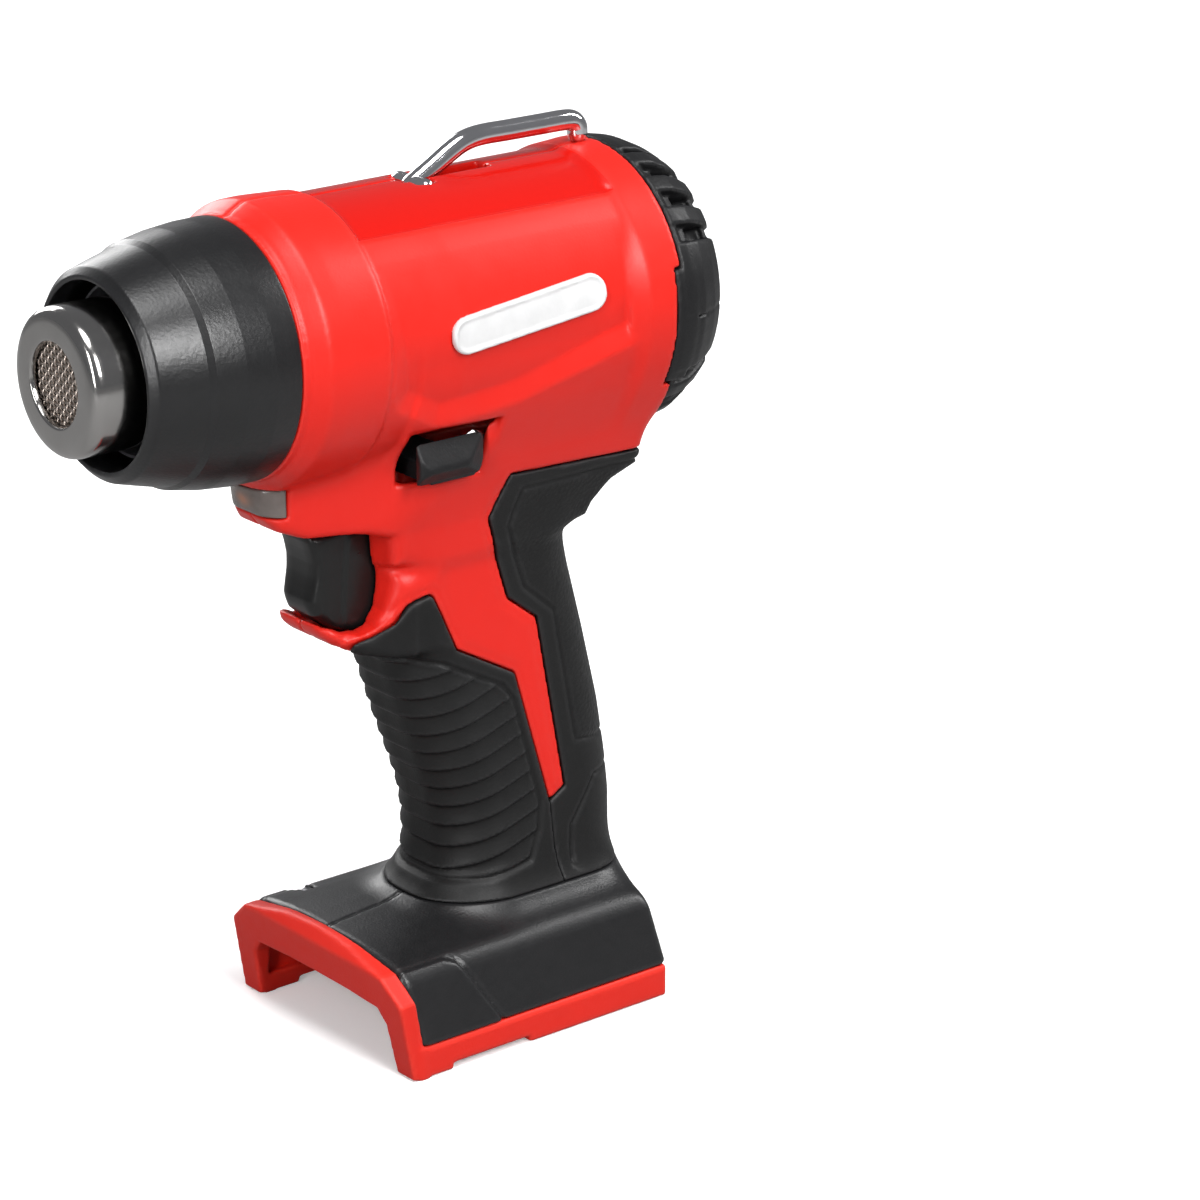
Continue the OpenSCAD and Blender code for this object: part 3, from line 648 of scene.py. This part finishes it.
def lock_hole(g):
    """The recess for the lock tab, with its shallow scoop."""
    pocket = box_field(g, (LOCK_X[0] - 0.4, -60, LOCK_Z[0] - 0.4), (LOCK_X[1] + 0.4, 60, LOCK_Z[1] + 0.4))
    pocket = smooth_max(pocket, 17.4 - np.abs(g.y), 0.4)
    bar = box_field(g, (11.6, -30, 137.6), (24.4, 30, 142.9))
    scoop = box_field(g, (LOCK_X[0] - 2.6, -60, LOCK_Z[0] - 1.6), (LOCK_X[1] + 1.4, 60, LOCK_Z[1] + 1.2))
    scoop = smooth_max(scoop, 24.6 - np.abs(g.y), 2.0)
    return np.minimum(smooth_min(pocket, scoop, 1.0), bar)


def hook_slot(g):
    x, z = HOOK_PIVOT[0], HOOK_PIVOT[2]
    slot = box_field(g, (x - 20, -HOOK_R - 0.3, z - 2.8), (x + 4.6, HOOK_R + 0.3, 220))
    pin = np.maximum(y_rod(g, x, z, HOOK_R + 0.1), np.abs(g.y) - 5.5)
    return np.minimum(slot, pin)


def screw_holes(g, sites, head):
    """Counterbored holes in the right side, drawn on the mirrored half."""
    field = None
    for x, z in sites:
        wide = np.maximum(y_rod(g, x, z, 3.2), head - g.y)
        hole = np.minimum(wide, y_rod(g, x, z, 1.7))
        field = hole if field is None else np.minimum(field, hole)
    return field


def red_zone(g):
    """Negative where the skin is red: the body, its long wedge, and the lip under the trigger."""
    away = np.maximum(np.abs(g.y) - 8, 0)
    lip = smooth_max(24.6 - g.x, (95.8 + 1.1 * away - g.z) * 0.67, 4.0)
    return smooth_min(outline(g.x, g.z, RED_ZONE), lip, 3.0)


def half_cut(g, field):
    """Keeps the y > 0 half, with a fine parting line."""
    return smooth_max(field, PARTING - g.y, 0.5)


# ---- housing and rubber --------------------------------------------------


def gloss_mask(points):
    """1 on the glossy strip along the top."""
    x, y, z = points.T
    angle = np.degrees(np.arctan2(np.abs(y), z - AXIS_Z))
    return ramp(38.6 - angle, 0, 0.7) * ramp(x, -33, -32.4) * ramp(38.2 - x, 0, 0.5)


def make_housing(material):
    g = Grid((-44, -1.2, 48), (61.2, 36.6, 205), HOUSING_STEP)
    form = body_form(g)
    zone = red_zone(g)
    under = np.maximum(form + RUBBER + 0.15, COLLAR_Z + 0.2 - g.z)
    border = 0.3 * np.exp(-((zone + 1.5) / 0.5) ** 2) * ramp(134 - g.z, 0, 4)
    outside = smooth_min(smooth_max(form + border, zone + 0.15, 0.7), under, 0.05)
    room = form + WALL + np.where(zone < 0, 0, RUBBER).astype(np.float32)
    room = np.maximum(room, -box_field(g, (-15, -10, 194), (17, 10, 206)))
    mouth = np.maximum(np.hypot(g.y, g.z - AXIS_Z) - 26.4, FRONT_X - 4 - g.x)
    tail = np.maximum(np.hypot(g.y, g.z - RIM_Z) - 31.8, g.x + 36)
    field = outside
    cuts = (room, mouth, tail, hook_slot(g))
    for cut in cuts:
        field = np.maximum(field, -cut)
    for cut in (trigger_hole(g), lock_hole(g)):
        field = smooth_max(field, -cut, 0.9)
    lens = box_field(g, (51.2, -20, 131.7), (70, 20, 138.9))
    field = smooth_max(field, -lens, 0.4)
    notch = box_field(g, (-50, 20, 150), (REAR_X + 2.1, 60, 178))
    field = smooth_max(field, -notch, 0.4)
    left = half_cut(g, field)
    right = smooth_max(left, -screw_holes(g, SCREW_SITES, 14), 0.5)
    masks = {"gloss": gloss_mask}
    shell("housing_left_shell", "housing_left", "frame", g, left, material, masks=masks)
    shell("housing_right_shell", "housing_right", "frame", g, right, material, True, masks)


def rib_relief(g):
    """How far the ribbed panel stands off the grip: curved ribs, flared at their lower edge."""
    tilt = math.radians(26)
    along = 91.5 - (g.x * math.sin(tilt) * 0.75 + g.z * math.cos(tilt) * 1.06 - 7.4)
    phase = along / 5.1
    t = phase - np.floor(phase)
    rise = 0.95 * np.where(t < 0.86, (t / 0.86) ** 1.6, (1 - t) / 0.14)
    inside = 1 - ramp(outline(g.x, g.z, RIB_PANEL), -1.6, 0.2)
    groove = np.exp(-(outline(g.x, g.z, RIB_PANEL) / 0.55) ** 2) * 0.7
    return inside * (rise - 0.75) - groove


def panel_mask(points):
    """1 on the pebbled strap panel."""
    x, _, z = points.T
    return (1 - ramp(outline(x, z, STRAP_PANEL), -0.8, 0.2)).astype(np.float32)


def make_grips(material):
    g = Grid((-44, -1, 28), (36, 28, 138), RUBBER_STEP)
    body = body_form(g)
    form = smooth_min(body, slab_field(g), 12.0)
    barrel = barrel_field(g)
    zone = red_zone(g)
    rear_zone = outline(g.x, g.z, [(-15.7, 50.4)] + WEDGE_REAR + [(-60, 140), (-60, 20), (-19, 20)])
    relief = rib_relief(g)
    strap = outline(g.x, g.z, STRAP_PANEL)
    relief = relief - 0.55 * np.exp(-(strap / 0.5) ** 2)
    heel = outline(g.x, g.z, HEEL_PATCH)
    relief = relief - 0.6 * np.exp(-(heel / 0.5) ** 2)
    layer = np.maximum(form - 0.15 - relief * ramp(g.z, 31, 34), -(body + RUBBER))
    layer = smooth_max(layer, 0.2 - zone, 0.6)
    layer = np.maximum(layer, -(barrel - 0.1))
    layer = np.maximum(layer, COLLAR_Z + 0.02 - g.z)
    layer = smooth_max(layer, -lock_hole(g), 0.5)
    front = smooth_max(layer, 0.06 - rear_zone, 0.3)
    rear = half_cut(g, smooth_max(layer, 0.06 + rear_zone, 0.3))
    holes = screw_holes(g, SCREW_SITES, 14)
    masks = {"panel": panel_mask}
    sleeve = shell("grip_front_sleeve", "grip_front_left", "frame", *both_sides(g, front), material,
                   masks=masks)
    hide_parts("grip_front_right")
    shell("grip_rear_left_skin", "grip_rear_left", "frame", g, rear, material, masks=masks)
    shell("grip_rear_right_skin", "grip_rear_right", "frame", g,
          smooth_max(rear, -holes, 0.4), material, True, masks)


# ---- base and foot -------------------------------------------------------


def slab_field(g):
    """The block of the base: a crowned top over sloping side walls."""
    across = np.abs(g.y)
    side = outline(g.x, g.z, [(34.8, 0), (35, SEAM_Z), (37.4, 25.6), (36.4, 27.2), (22, 28.8), (8, 30),
                              (-22, 30), (-32, 28.6), (-36.2, 26), (-38.3, SEAM_Z), (-38.6, 0)])
    crown = np.interp(across, [0, 7, 13, 20, 27, 34], [29.9, 29.4, 28.3, 26.8, 25.2, 23.4])
    top = (g.z - crown.astype(np.float32)) * 0.97
    wall = ((across - 34) * 17 + (g.z - SEAM_Z) * 5.2) / 17.8
    return smooth_max(side, smooth_max(top, wall, 3.5), 2.6)


def base_form(g):
    """The black base, flaring up into the grip."""
    return smooth_min(slab_field(g), smooth_max(grip_field(g), 16 - g.z, 1.0), 12.0)


def side_patch(g):
    """The smoother patch at the front of each side."""
    return outline(g.x, g.z, [(41, 25), (25, 25.6), (21.2, 23.6), (11.8, 8), (11.8, 4), (41, 4)])


def make_base(material):
    g = Grid((-40, -1.2, 6), (41, 36, 32), BASE_STEP)
    form = base_form(g)
    patch = side_patch(g)
    relief = 0.45 * (1 - ramp(patch, -0.4, 0.4)) * ramp(g.y, 27.2, 28)
    field = form - relief + 0.5 * np.exp(-((patch - 0.5) / 0.45) ** 2) * ramp(g.y, 26.6, 27.6)
    field = np.maximum(field, g.z - COLLAR_Z + 0.02)
    field = smooth_max(field, SEAM_Z + 0.15 - g.z, 0.7)
    field = np.maximum(field, -(form + WALL))
    field = np.maximum(field, -box_field(g, (-34.4, -30.1, 0), (44, 30.1, 18)))
    field = np.maximum(field, g.x - 37.2)
    left = half_cut(g, field)
    right = smooth_max(left, -screw_holes_z(g), 0.4)
    masks = {"panel": lambda p: (patch_mask(p))}
    shell("base_left_shell", "base_left", "frame", g, left, material, masks=masks)
    shell("base_right_shell", "base_right", "frame", g, right, material, True, masks)


def patch_mask(points):
    x, y, z = points.T
    flat = outline(x, z, [(41, 25), (25, 25.6), (21.2, 23.6), (11.8, 8), (11.8, 4), (41, 4)])
    return ((1 - ramp(flat, -0.4, 0.4)) * ramp(np.abs(y), 27, 28)).astype(np.float32)


def screw_holes_z(g):
    return screw_holes(g, FOOT_SITES, 22)


def make_foot(material):
    """The red foot: an arch at the front, a tray, and the rails that the battery slides on."""
    g = Grid((-38.8, -35.4, -1.2), (43.6, 35.4, 30), FOOT_STEP)
    across = np.abs(g.y)
    arch_side = outline(g.x, g.z, [(37.5, 0), (41.9, 25), (39.8, 28.4), (37.6, 28.4), (33.3, 0)])
    half = [(34.2, 0), (33.6, 19.4), (27.2, 24.9), (13, 27.5), (0, 28.4)]
    arch_front = outline(g.y, g.z, half + [(-y, z) for y, z in half[::-1]])
    arch = smooth_max(arch_side, arch_front, 0.8)
    plate = smooth_max(outline(g.x, g.z, [(-37.5, 0), (-37.5, 7.9), (36, 7.9), (36, 0)]),
                       across - 34.2, 0.9)
    tray = box_field(g, (-34.2, -29.9, 2), (36, 29.9, 18))
    field = smooth_min(np.minimum(plate, tray), arch, 0.8)
    opening = [(27.4, -4), (26, 12.4), (23.4, 15.6), (12, 16.2), (0, 16.4)]
    hollow = outline(g.y, g.z, opening + [(-y, z) for y, z in opening[::-1]])
    channel = smooth_max(hollow, -28 - g.x, 1.0)
    field = smooth_max(field, -channel, 0.8)
    rails = box_field(g, (-28, -29, 5), (36, 29, 12))
    field = smooth_max(field, -np.maximum(rails, g.x - 35), 0.5)
    for side in (-1, 1):
        relief = box_field(g, (4, side * 30 - 8, -4), (26, side * 30 + 8, 1.6))
        field = smooth_max(field, -relief, 0.8)
    points, faces = field_points(g, field)
    piece = mesh_object("foot_shell", points, faces, material)
    paint(piece, "edge", edge_mask(points, faces))
    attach(piece, "frame")
    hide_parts("battery_foot")


# ---- barrel end pieces ---------------------------------------------------


def stand_in(piece, node, body="frame"):
    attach(piece, body)
    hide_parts(node)


def make_guard(material):
    corners = [(60.1, 26.6), (60.1, 29.3), (66.4, 29.2), (73.4, 28.5), (80.2, 27.2), (81.6, 26.3),
               (86.3, 25.1), (92.2, 23.5), (94, 21.6), (93.8, 20.7), (90, 20.6), (80, 23), (68.2, 24.4),
               (66.2, 26.5)]
    radii = [0.3, 0.5, 2, 0.8, 0.6, 0.8, 2, 1.6, 0.8, 0.4, 1, 1, 1, 0.5]
    piece = lathe("guard_shell", rounded(corners, radii, 6), material)
    x = np.array([v.co.x for v in piece.data.vertices]) / MM
    # Painted highlight: the guard's front rim is given edge value, so its material paints it lighter there.
    paint(piece, "edge", ramp(x, 93.2, 93.9) * 0.6)
    paint(piece, "band", ramp(x, 72.6, 73.6) * (1 - ramp(x, 80.0, 80.6)))
    stand_in(piece, "nozzle_guard")


def make_nozzle(material):
    corners = [(38.3, 15.5), (38.3, 16.5), (46.4, 16.5), (46.4, 29.6), (48, 29.6), (48, 16.5),
               (103.7, 16.5), (103.7, 9.4), (102.3, 9.0), (102.0, 9.6), (102.4, 10.6), (102.6, 15.4)]
    radii = [0.2, 0.2, 0.1, 0.3, 0.3, 0.3, 5.2, 0.7, 0.5, 0.2, 0.3, 4.2]
    stand_in(lathe("nozzle_shell", rounded(corners, radii, 10), material, turns=192), "nozzle_tube")


def make_weave(material):
    """The woven wire screen in the mouth: each wire passes over and under its neighbours."""
    pitch, wire, reach = 1.32, 0.36, 10.6
    centre = 102.0 - 0.9
    points, faces, base = [], [], 0
    count = int(reach / pitch)
    for direction in (0, 1):
        for i in range(-count, count + 1):
            offset = i * pitch
            half = math.sqrt(max(reach ** 2 - offset ** 2, 0))
            if half < 1.2:
                continue
            t = np.arange(-half, half + 0.01, pitch / 4)
            wave = 0.26 * np.cos(math.pi * (t / pitch + i + direction))
            path = np.zeros((len(t), 3))
            path[:, 0] = centre + wave
            path[:, 1 + direction] = t
            path[:, 2 - direction] = offset
            path[:, 2] += AXIS_Z
            ring, quads = tube_points(path, wire, 7)
            points.append(ring)
            faces.append(quads + base)
            base += len(ring)
    piece = mesh_object("outlet_weave", np.concatenate(points), np.concatenate(faces), material)
    stand_in(piece, "nozzle_mesh")


def make_cap(material):
    """The rear cap: a dome with raised blocks, slots between them and louvres in its back."""
    g = Grid((-60, -36.6, 131), (-35.4, 36.6, 205), CAP_STEP)
    angle = np.degrees(np.arctan2(g.y, g.z - RIM_Z))
    away = np.abs(angle)
    outer = turned(g, [(-38, 0), (-38, 31.4), (-42.1, 31.4), (-42.1, 34.2), (-44.6, 34.2), (-48.4, 33.5),
                       (-53, 31.4), (-56.4, 29.2), (-58.2, 26.8), (-58.4, 24), (-58.4, 0)], RIM_Z)
    inner = turned(g, [(-38, 0), (-38, 31.4), (-42.1, 31.4), (-42.1, 34.0), (-43.4, 33.6), (-45.4, 31.6),
                       (-52, 30.2), (-55.6, 28.4), (-57.2, 26), (-57.6, 24), (-57.6, 0)], RIM_Z)
    radius = np.hypot(g.y, g.z - RIM_Z)
    spoke = (np.mod(angle, 15) - 7.5) * math.pi / 180 * radius
    fins = 2.3 - np.abs(spoke)
    side_block = (np.abs(away - 91) - 24.5) * math.pi / 180 * radius
    split = 0.5 - np.abs(away - 94) * math.pi / 180 * radius
    block = smooth_max(side_block, split, 0.5)
    top_block = (away - 15.5) * math.pi / 180 * radius
    solid_zone = np.minimum(np.minimum(block, top_block), -(fins))
    raised = smooth_max(outer, solid_zone + 0 * outer, 0.7)
    field = smooth_min(inner, raised, 0.4)
    tab = box_field(g, (-46, 20, 150.5), (-40.1, 60, 177.5))
    tabs = np.minimum(tab, box_field(g, (-46, -60, 150.5), (-40.1, -20, 177.5)))
    tabs = smooth_max(tabs, turned(g, [(-48, 0), (-48, 34.1), (-39, 34.0), (-39, 0)], RIM_Z), 0.6)
    tabs = smooth_max(tabs, 31.6 - radius, 0.2)
    field = smooth_min(field, tabs, 0.3)
    slot = smooth_max(np.abs((np.mod(angle + 7.5, 15) - 7.5) * math.pi / 180 * radius) - 1.5,
                      np.maximum(-54.4 - g.x, g.x + 47.6), 0.4)
    slot = smooth_max(slot, 27.4 - radius, 0.4)
    slot = np.maximum(slot, side_guard(away, radius))
    field = smooth_max(field, -slot, 0.4)
    for i in range(-3, 4):
        half = math.sqrt(24 * 24 - i * i * 36) - 2
        louvre = np.maximum(np.abs(g.y) - half, np.abs(g.z - RIM_Z - i * 6) - 1.5)
        field = smooth_max(field, -np.maximum(louvre, g.x + 54), 0.7)
    hollow = turned(g, [(-30, 0), (-30, 29.6), (-45.4, 29.6), (-47, 26.2), (-55, 26), (-56, 24),
                        (-56.2, 0)], RIM_Z)
    field = np.maximum(field, -hollow)
    points, faces = field_points(g, field)
    piece = mesh_object("cap_shell", points, faces, material)
    paint(piece, "edge", edge_mask(points, faces))
    stand_in(piece, "rear_cap")


def side_guard(away, radius):
    """Keeps the slots out of the plain blocks at the sides and the top."""
    side = (24.5 - np.abs(away - 91)) * math.pi / 180 * radius
    top = (15.5 - away) * math.pi / 180 * radius
    return np.maximum(side, top)


# ---- controls, light and hook --------------------------------------------


def make_trigger(material):
    g = Grid((20, -8.6, 99), (46, 8.6, 127), SMALL_STEP)
    z0, z1 = TRIGGER_Z
    side = outline(g.x, g.z, [(21, z0), (33, z0), (37.6, 101.9), (42.2, 105.6), (43.8, 109.2), (43.4, 112),
                              (42.7, 115), (42.6, 118), (43.4, 121), (44.4, 123.6), (43.4, z1), (21, z1)])
    crown = 7.5 - 1.7 * ramp(g.x, 34, 45) ** 2
    field = smooth_max(side, np.abs(g.y) - crown, 3.4)
    field = smooth_max(field, 22.4 - g.x, 0.6)
    left = np.hypot(g.x - 60.6, g.z - 116.2) - 18.2
    dish = smooth_max(left, np.abs(g.y) - 6.3, 3.0)
    field = smooth_max(field, -dish, 2.0)
    cheek = outline(g.x, g.z, [(20, 90), (33.4, 90), (35.4, 106), (34.6, 116), (33, 130), (20, 130)])
    field = smooth_max(field, np.abs(g.y) - 6.9 - 0.6 * ramp(-cheek, -0.3, 0.3), 0.3)
    points, faces = field_points(g, field)
    stem = round_ended([(8.9 + 0.5 * i, 0, 112) for i in range(31)], 2.2)
    ring, quads = tube_points(stem[0], stem[1], 24)
    points, faces = np.concatenate([points, ring]), np.concatenate([faces, quads + len(points)])
    stand_in(mesh_object("trigger_form", points, faces, material), "trigger", "trigger")


def make_lock(material):
    """The lock button: two faceted tabs joined by a bar."""
    g = Grid((5, -24.6, 136), (31, 32, 152), SMALL_STEP)
    bar = box_field(g, (LOCK_X[0] + 4, LOCK_TRAVEL - LOCK_OUT + 2, 138), (LOCK_X[1] - 4, LOCK_OUT - 3, 142.5))
    field = bar
    for side, face in ((1, LOCK_OUT), (-1, LOCK_OUT - LOCK_TRAVEL)):
        depth = side * g.y - face
        tab = outline(g.x, g.z, [(LOCK_X[1], 138.8), (LOCK_X[1], 148), (26.4, LOCK_Z[1]), (13, LOCK_Z[1]),
                                 (LOCK_X[0], 146.4), (LOCK_X[0], 142.6), (12, LOCK_Z[0]), (26.6, LOCK_Z[0])])
        tab = smooth_max(tab, np.maximum(depth, -3.4 - depth), 0.6)
        upper = (depth + 0.55 * (g.z - 142.4)) * 0.87
        lower = (depth + 0.9 * (142.2 - g.z) - 0.4) * 0.74
        rear = (depth + 0.5 * (15.5 - g.x)) * 0.89
        front = (depth + 0.5 * (g.x - 25.6)) * 0.89
        for facet in (upper, lower, rear, front):
            tab = smooth_max(tab, facet, 0.5)
        field = smooth_min(field, tab, 0.3)
    points, faces = field_points(g, field)
    piece = mesh_object("lock_form", points, faces, material)
    paint(piece, "edge", edge_mask(points, faces))
    stand_in(piece, "lock_button", "lock")


def make_lens(material):
    g = Grid((48, -12, 130), (60, 12, 141), SMALL_STEP)
    form = neck_field(g)
    field = smooth_max(form, -(form + 2), 0.2)
    field = smooth_max(field, box_field(g, (51.4, -20, 132), (70, 20, 138.6)), 0.6)
    points, faces = field_points(g, field)
    piece = mesh_object("lens_form", points, faces, material)
    warm = np.exp(-((points[:, 1]) / 2.2) ** 2 - ((points[:, 2] - 135.3) / 1.6) ** 2)
    paint(piece, "warm", warm)
    stand_in(piece, "led_lens")


def make_hook(material):
    """The bent wire of the hook, with its pin across the barrel."""
    x, _, z = HOOK_PIVOT
    run = 207.2
    path = spline([(x, 0, z), (6.2, 0, 200.4), (2.8, 0, 202.3), (-1, 0, 204.5), (-5.2, 0, 206.4),
                   (-10, 0, run), (-18, 0, run), (-27, 0, run), (-33.4, 0, run), (-36.4, 0, run - 0.4),
                   (-37.8, 0, run - 1.8), (-38, 0, run - 3.4)], 6)
    wire, radii = round_ended(path, HOOK_R, 6)
    points, faces = tube_points(wire, radii, 28)
    pin, pin_radii = round_ended([(x, -4.8 + 0.6 * i, z) for i in range(17)], HOOK_R - 0.3, 4)
    swap = pin[:, [1, 0, 2]]
    ring, quads = tube_points(swap, pin_radii, 24)
    ring = ring[:, [1, 0, 2]]
    points, faces = np.concatenate([points, ring]), np.concatenate([faces, quads[:, ::-1] + len(points)])
    stand_in(mesh_object("hook_wire", points, faces, material), "hang_hook", "hook")


def make_badge(side, name, material):
    """A plain raised plate on the side panel."""
    g = Grid((-28, 26, 160), (30, 34, 188), 0.4)
    tilt = math.radians(-6)
    u = g.x * math.cos(tilt) + (g.z - 174) * math.sin(tilt)
    v = -g.x * math.sin(tilt) + (g.z - 174) * math.cos(tilt)
    plate = round_rect(u, v, 21.6, 4.2, 4.1)
    radius = np.hypot(g.y, g.z - AXIS_Z)
    face = 31.7 - 0.35 * ramp(-plate, 0.8, 1.2)
    field = smooth_max(plate + 0 * g.y, radius - face, 0.5)
    field = np.maximum(field, 30.2 - radius)
    points, faces = field_points(g, field)
    if side < 0:
        points = points * np.array([1, -1, 1])
        faces = faces[:, ::-1]
    stand_in(mesh_object(name + "_plate", points, faces, material), name)


# ---- the rest of the scene -----------------------------------------------


def finish_cad_nodes():
    """Gives the CAD nodes that stay as they are a finish of their own."""
    bright = steel("bright_steel", (0.6, 0.6, 0.62), (0.2, 0.35))
    dull = steel("dull_steel", (0.42, 0.42, 0.44), (0.35, 0.5))
    mica = plain("mica", (0.42, 0.36, 0.22), 0.55)
    ceramic = plain("ceramic", (0.62, 0.58, 0.46), 0.75)
    heater = steel("heater_wire", (0.32, 0.27, 0.23), (0.4, 0.6))
    nylon = plain("dark_nylon", (0.05, 0.05, 0.055), 0.5)
    duct = plain("grey_nylon", (0.14, 0.14, 0.15), 0.5)
    board = plain("board_green", (0.02, 0.12, 0.05), 0.4)
    white = plain("white_board", (0.75, 0.75, 0.72), 0.5)
    brass = steel("plated_brass", (0.72, 0.6, 0.35), (0.2, 0.35))
    lead = plain("lead_red", (0.45, 0.02, 0.02), 0.45)
    zinc = steel("black_zinc", (0.16, 0.16, 0.17), (0.3, 0.45))
    finishes = {
        "heat_shield": dull, "mica_sleeve": mica, "heater_core": ceramic, "heating_coil": heater,
        "thermal_cutout": bright, "fan_duct": duct, "motor": dull, "motor_shaft": bright,
        "fan_wheel": nylon, "intake_screen": nylon, "control_board": board, "led_board": white,
        "trigger_switch": nylon, "trigger_spring": bright, "terminal_block": nylon,
        "terminal_blades": brass, "housing_screws": zinc, "foot_screws": zinc, "power_leads": lead,
    }
    for name, material in finishes.items():
        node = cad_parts[name]
        if not node.material_slots:
            node.data.materials.append(material)
        for slot in node.material_slots:
            slot.material = material


def area_light(name, place, target, size, power, colour=(1, 1, 1)):
    light = bpy.data.lights.new(name, "AREA")
    light.shape = "RECTANGLE"
    light.size, light.size_y = size
    light.energy = power
    light.color = colour
    lamp = bpy.data.objects.new(name, light)
    bpy.context.scene.collection.objects.link(lamp)
    lamp.location = place
    aim = Vector(target) - Vector(place)
    lamp.rotation_euler = aim.to_track_quat("-Z", "Y").to_euler()


def make_stage():
    mesh = bpy.data.meshes.new("floor")
    size = 30.0
    mesh.from_pydata([(-size, -size, 0), (size, -size, 0), (size, size, 0), (-size, size, 0)], [],
                     [(0, 1, 2, 3)])
    p = Paint("floor_paper", (0.9, 0.9, 0.9), 0.9, specular=0.1)
    # White to the camera, darker to indirect light, so that it doesn't wash out the black parts.
    direct = p.node("ShaderNodeLightPath").outputs["Is Camera Ray"]
    p.colour(p.mix(direct, (0.3, 0.3, 0.3), (0.9, 0.9, 0.9)))
    p.shader.inputs["Emission Color"].default_value = (1, 1, 1, 1)
    p.link(p.math("MULTIPLY", direct, 0.25), p.shader.inputs["Emission Strength"])
    mesh.materials.append(p.material)
    floor = bpy.data.objects.new("floor", mesh)
    bpy.context.scene.collection.objects.link(floor)


def make_world():
    world = bpy.data.worlds.new("studio")
    world.use_nodes = True
    background = world.node_tree.nodes["Background"]
    background.inputs["Color"].default_value = (0.95, 0.96, 1.0, 1)
    background.inputs["Strength"].default_value = 0.22
    scene = bpy.context.scene
    scene.world = world
    scene.view_settings.view_transform = "Standard"
    scene.view_settings.look = "None"


def make_camera():
    """The photograph's viewing angle: from the gun's front left, a little above."""
    azimuth, elevation = math.radians(140.745), math.radians(19.396)
    back = Vector((math.sin(azimuth) * math.cos(elevation), -math.cos(azimuth) * math.cos(elevation),
                   math.sin(elevation)))
    data = bpy.data.cameras.new("camera")
    data.sensor_width = 36
    data.lens = 121
    data.clip_start = 0.01
    data.clip_end = 100
    camera = bpy.data.objects.new("camera", data)
    bpy.context.scene.collection.objects.link(camera)
    camera.location = (0.5299, 0.7032, 0.4088)
    camera.rotation_euler = (-back).to_track_quat("-Z", "Y").to_euler()
    bpy.context.scene.camera = camera


def sun_light(name, direction, power, spread):
    light = bpy.data.lights.new(name, "SUN")
    light.energy = power
    light.angle = math.radians(spread)
    lamp = bpy.data.objects.new(name, light)
    bpy.context.scene.collection.objects.link(lamp)
    lamp.rotation_euler = Vector(direction).to_track_quat("-Z", "Y").to_euler()


def make_lights():
    """An even overhead light for the floor, and softboxes for the object's highlights."""
    sun_light("sky", (-0.1, -0.25, -1), 1.9, 30)
    area_light("key", (0.1, 0.95, 0.75), (0, 0, 0.13), (0.24, 0.5), 10)
    area_light("front", (0.9, 0.45, 0.5), (0, 0, 0.15), (0.14, 0.7), 6)
    area_light("back", (-0.85, 0.3, 0.7), (0, 0, 0.15), (0.16, 0.6), 5)
    area_light("fill", (-0.1, -0.95, 0.5), (0, 0, 0.13), (0.5, 0.5), 5)


make_camera()
make_world()
make_lights()
make_stage()
RED = red_plastic()
RUBBER_BLACK = grip_rubber()
BLACK = black_plastic()
make_housing(RED)
make_grips(RUBBER_BLACK)
make_base(black_plastic("base_black", 0.7, 0.05, (0.3, 0.42), 0.5))
make_foot(foot_red())
make_guard(black_plastic("guard_black", 1.0, 0.05, (0.28, 0.38), 0.5))
make_nozzle(steel("polished_steel", (0.4, 0.39, 0.38), (0.1, 0.2)))
make_weave(steel("weave_steel", (0.42, 0.36, 0.32), (0.3, 0.45)))
make_cap(black_plastic("cap_black", 0.8, 0.05))
make_trigger(smooth_black())
make_lock(BLACK)
make_lens(smoky_lens())
make_hook(steel("chrome", (0.72, 0.72, 0.74), (0.05, 0.12)))
BADGE = plain("badge_white", (0.6, 0.6, 0.6), 0.4)
make_badge(1, "badge_left", BADGE)
make_badge(-1, "badge_right", BADGE)
finish_cad_nodes()
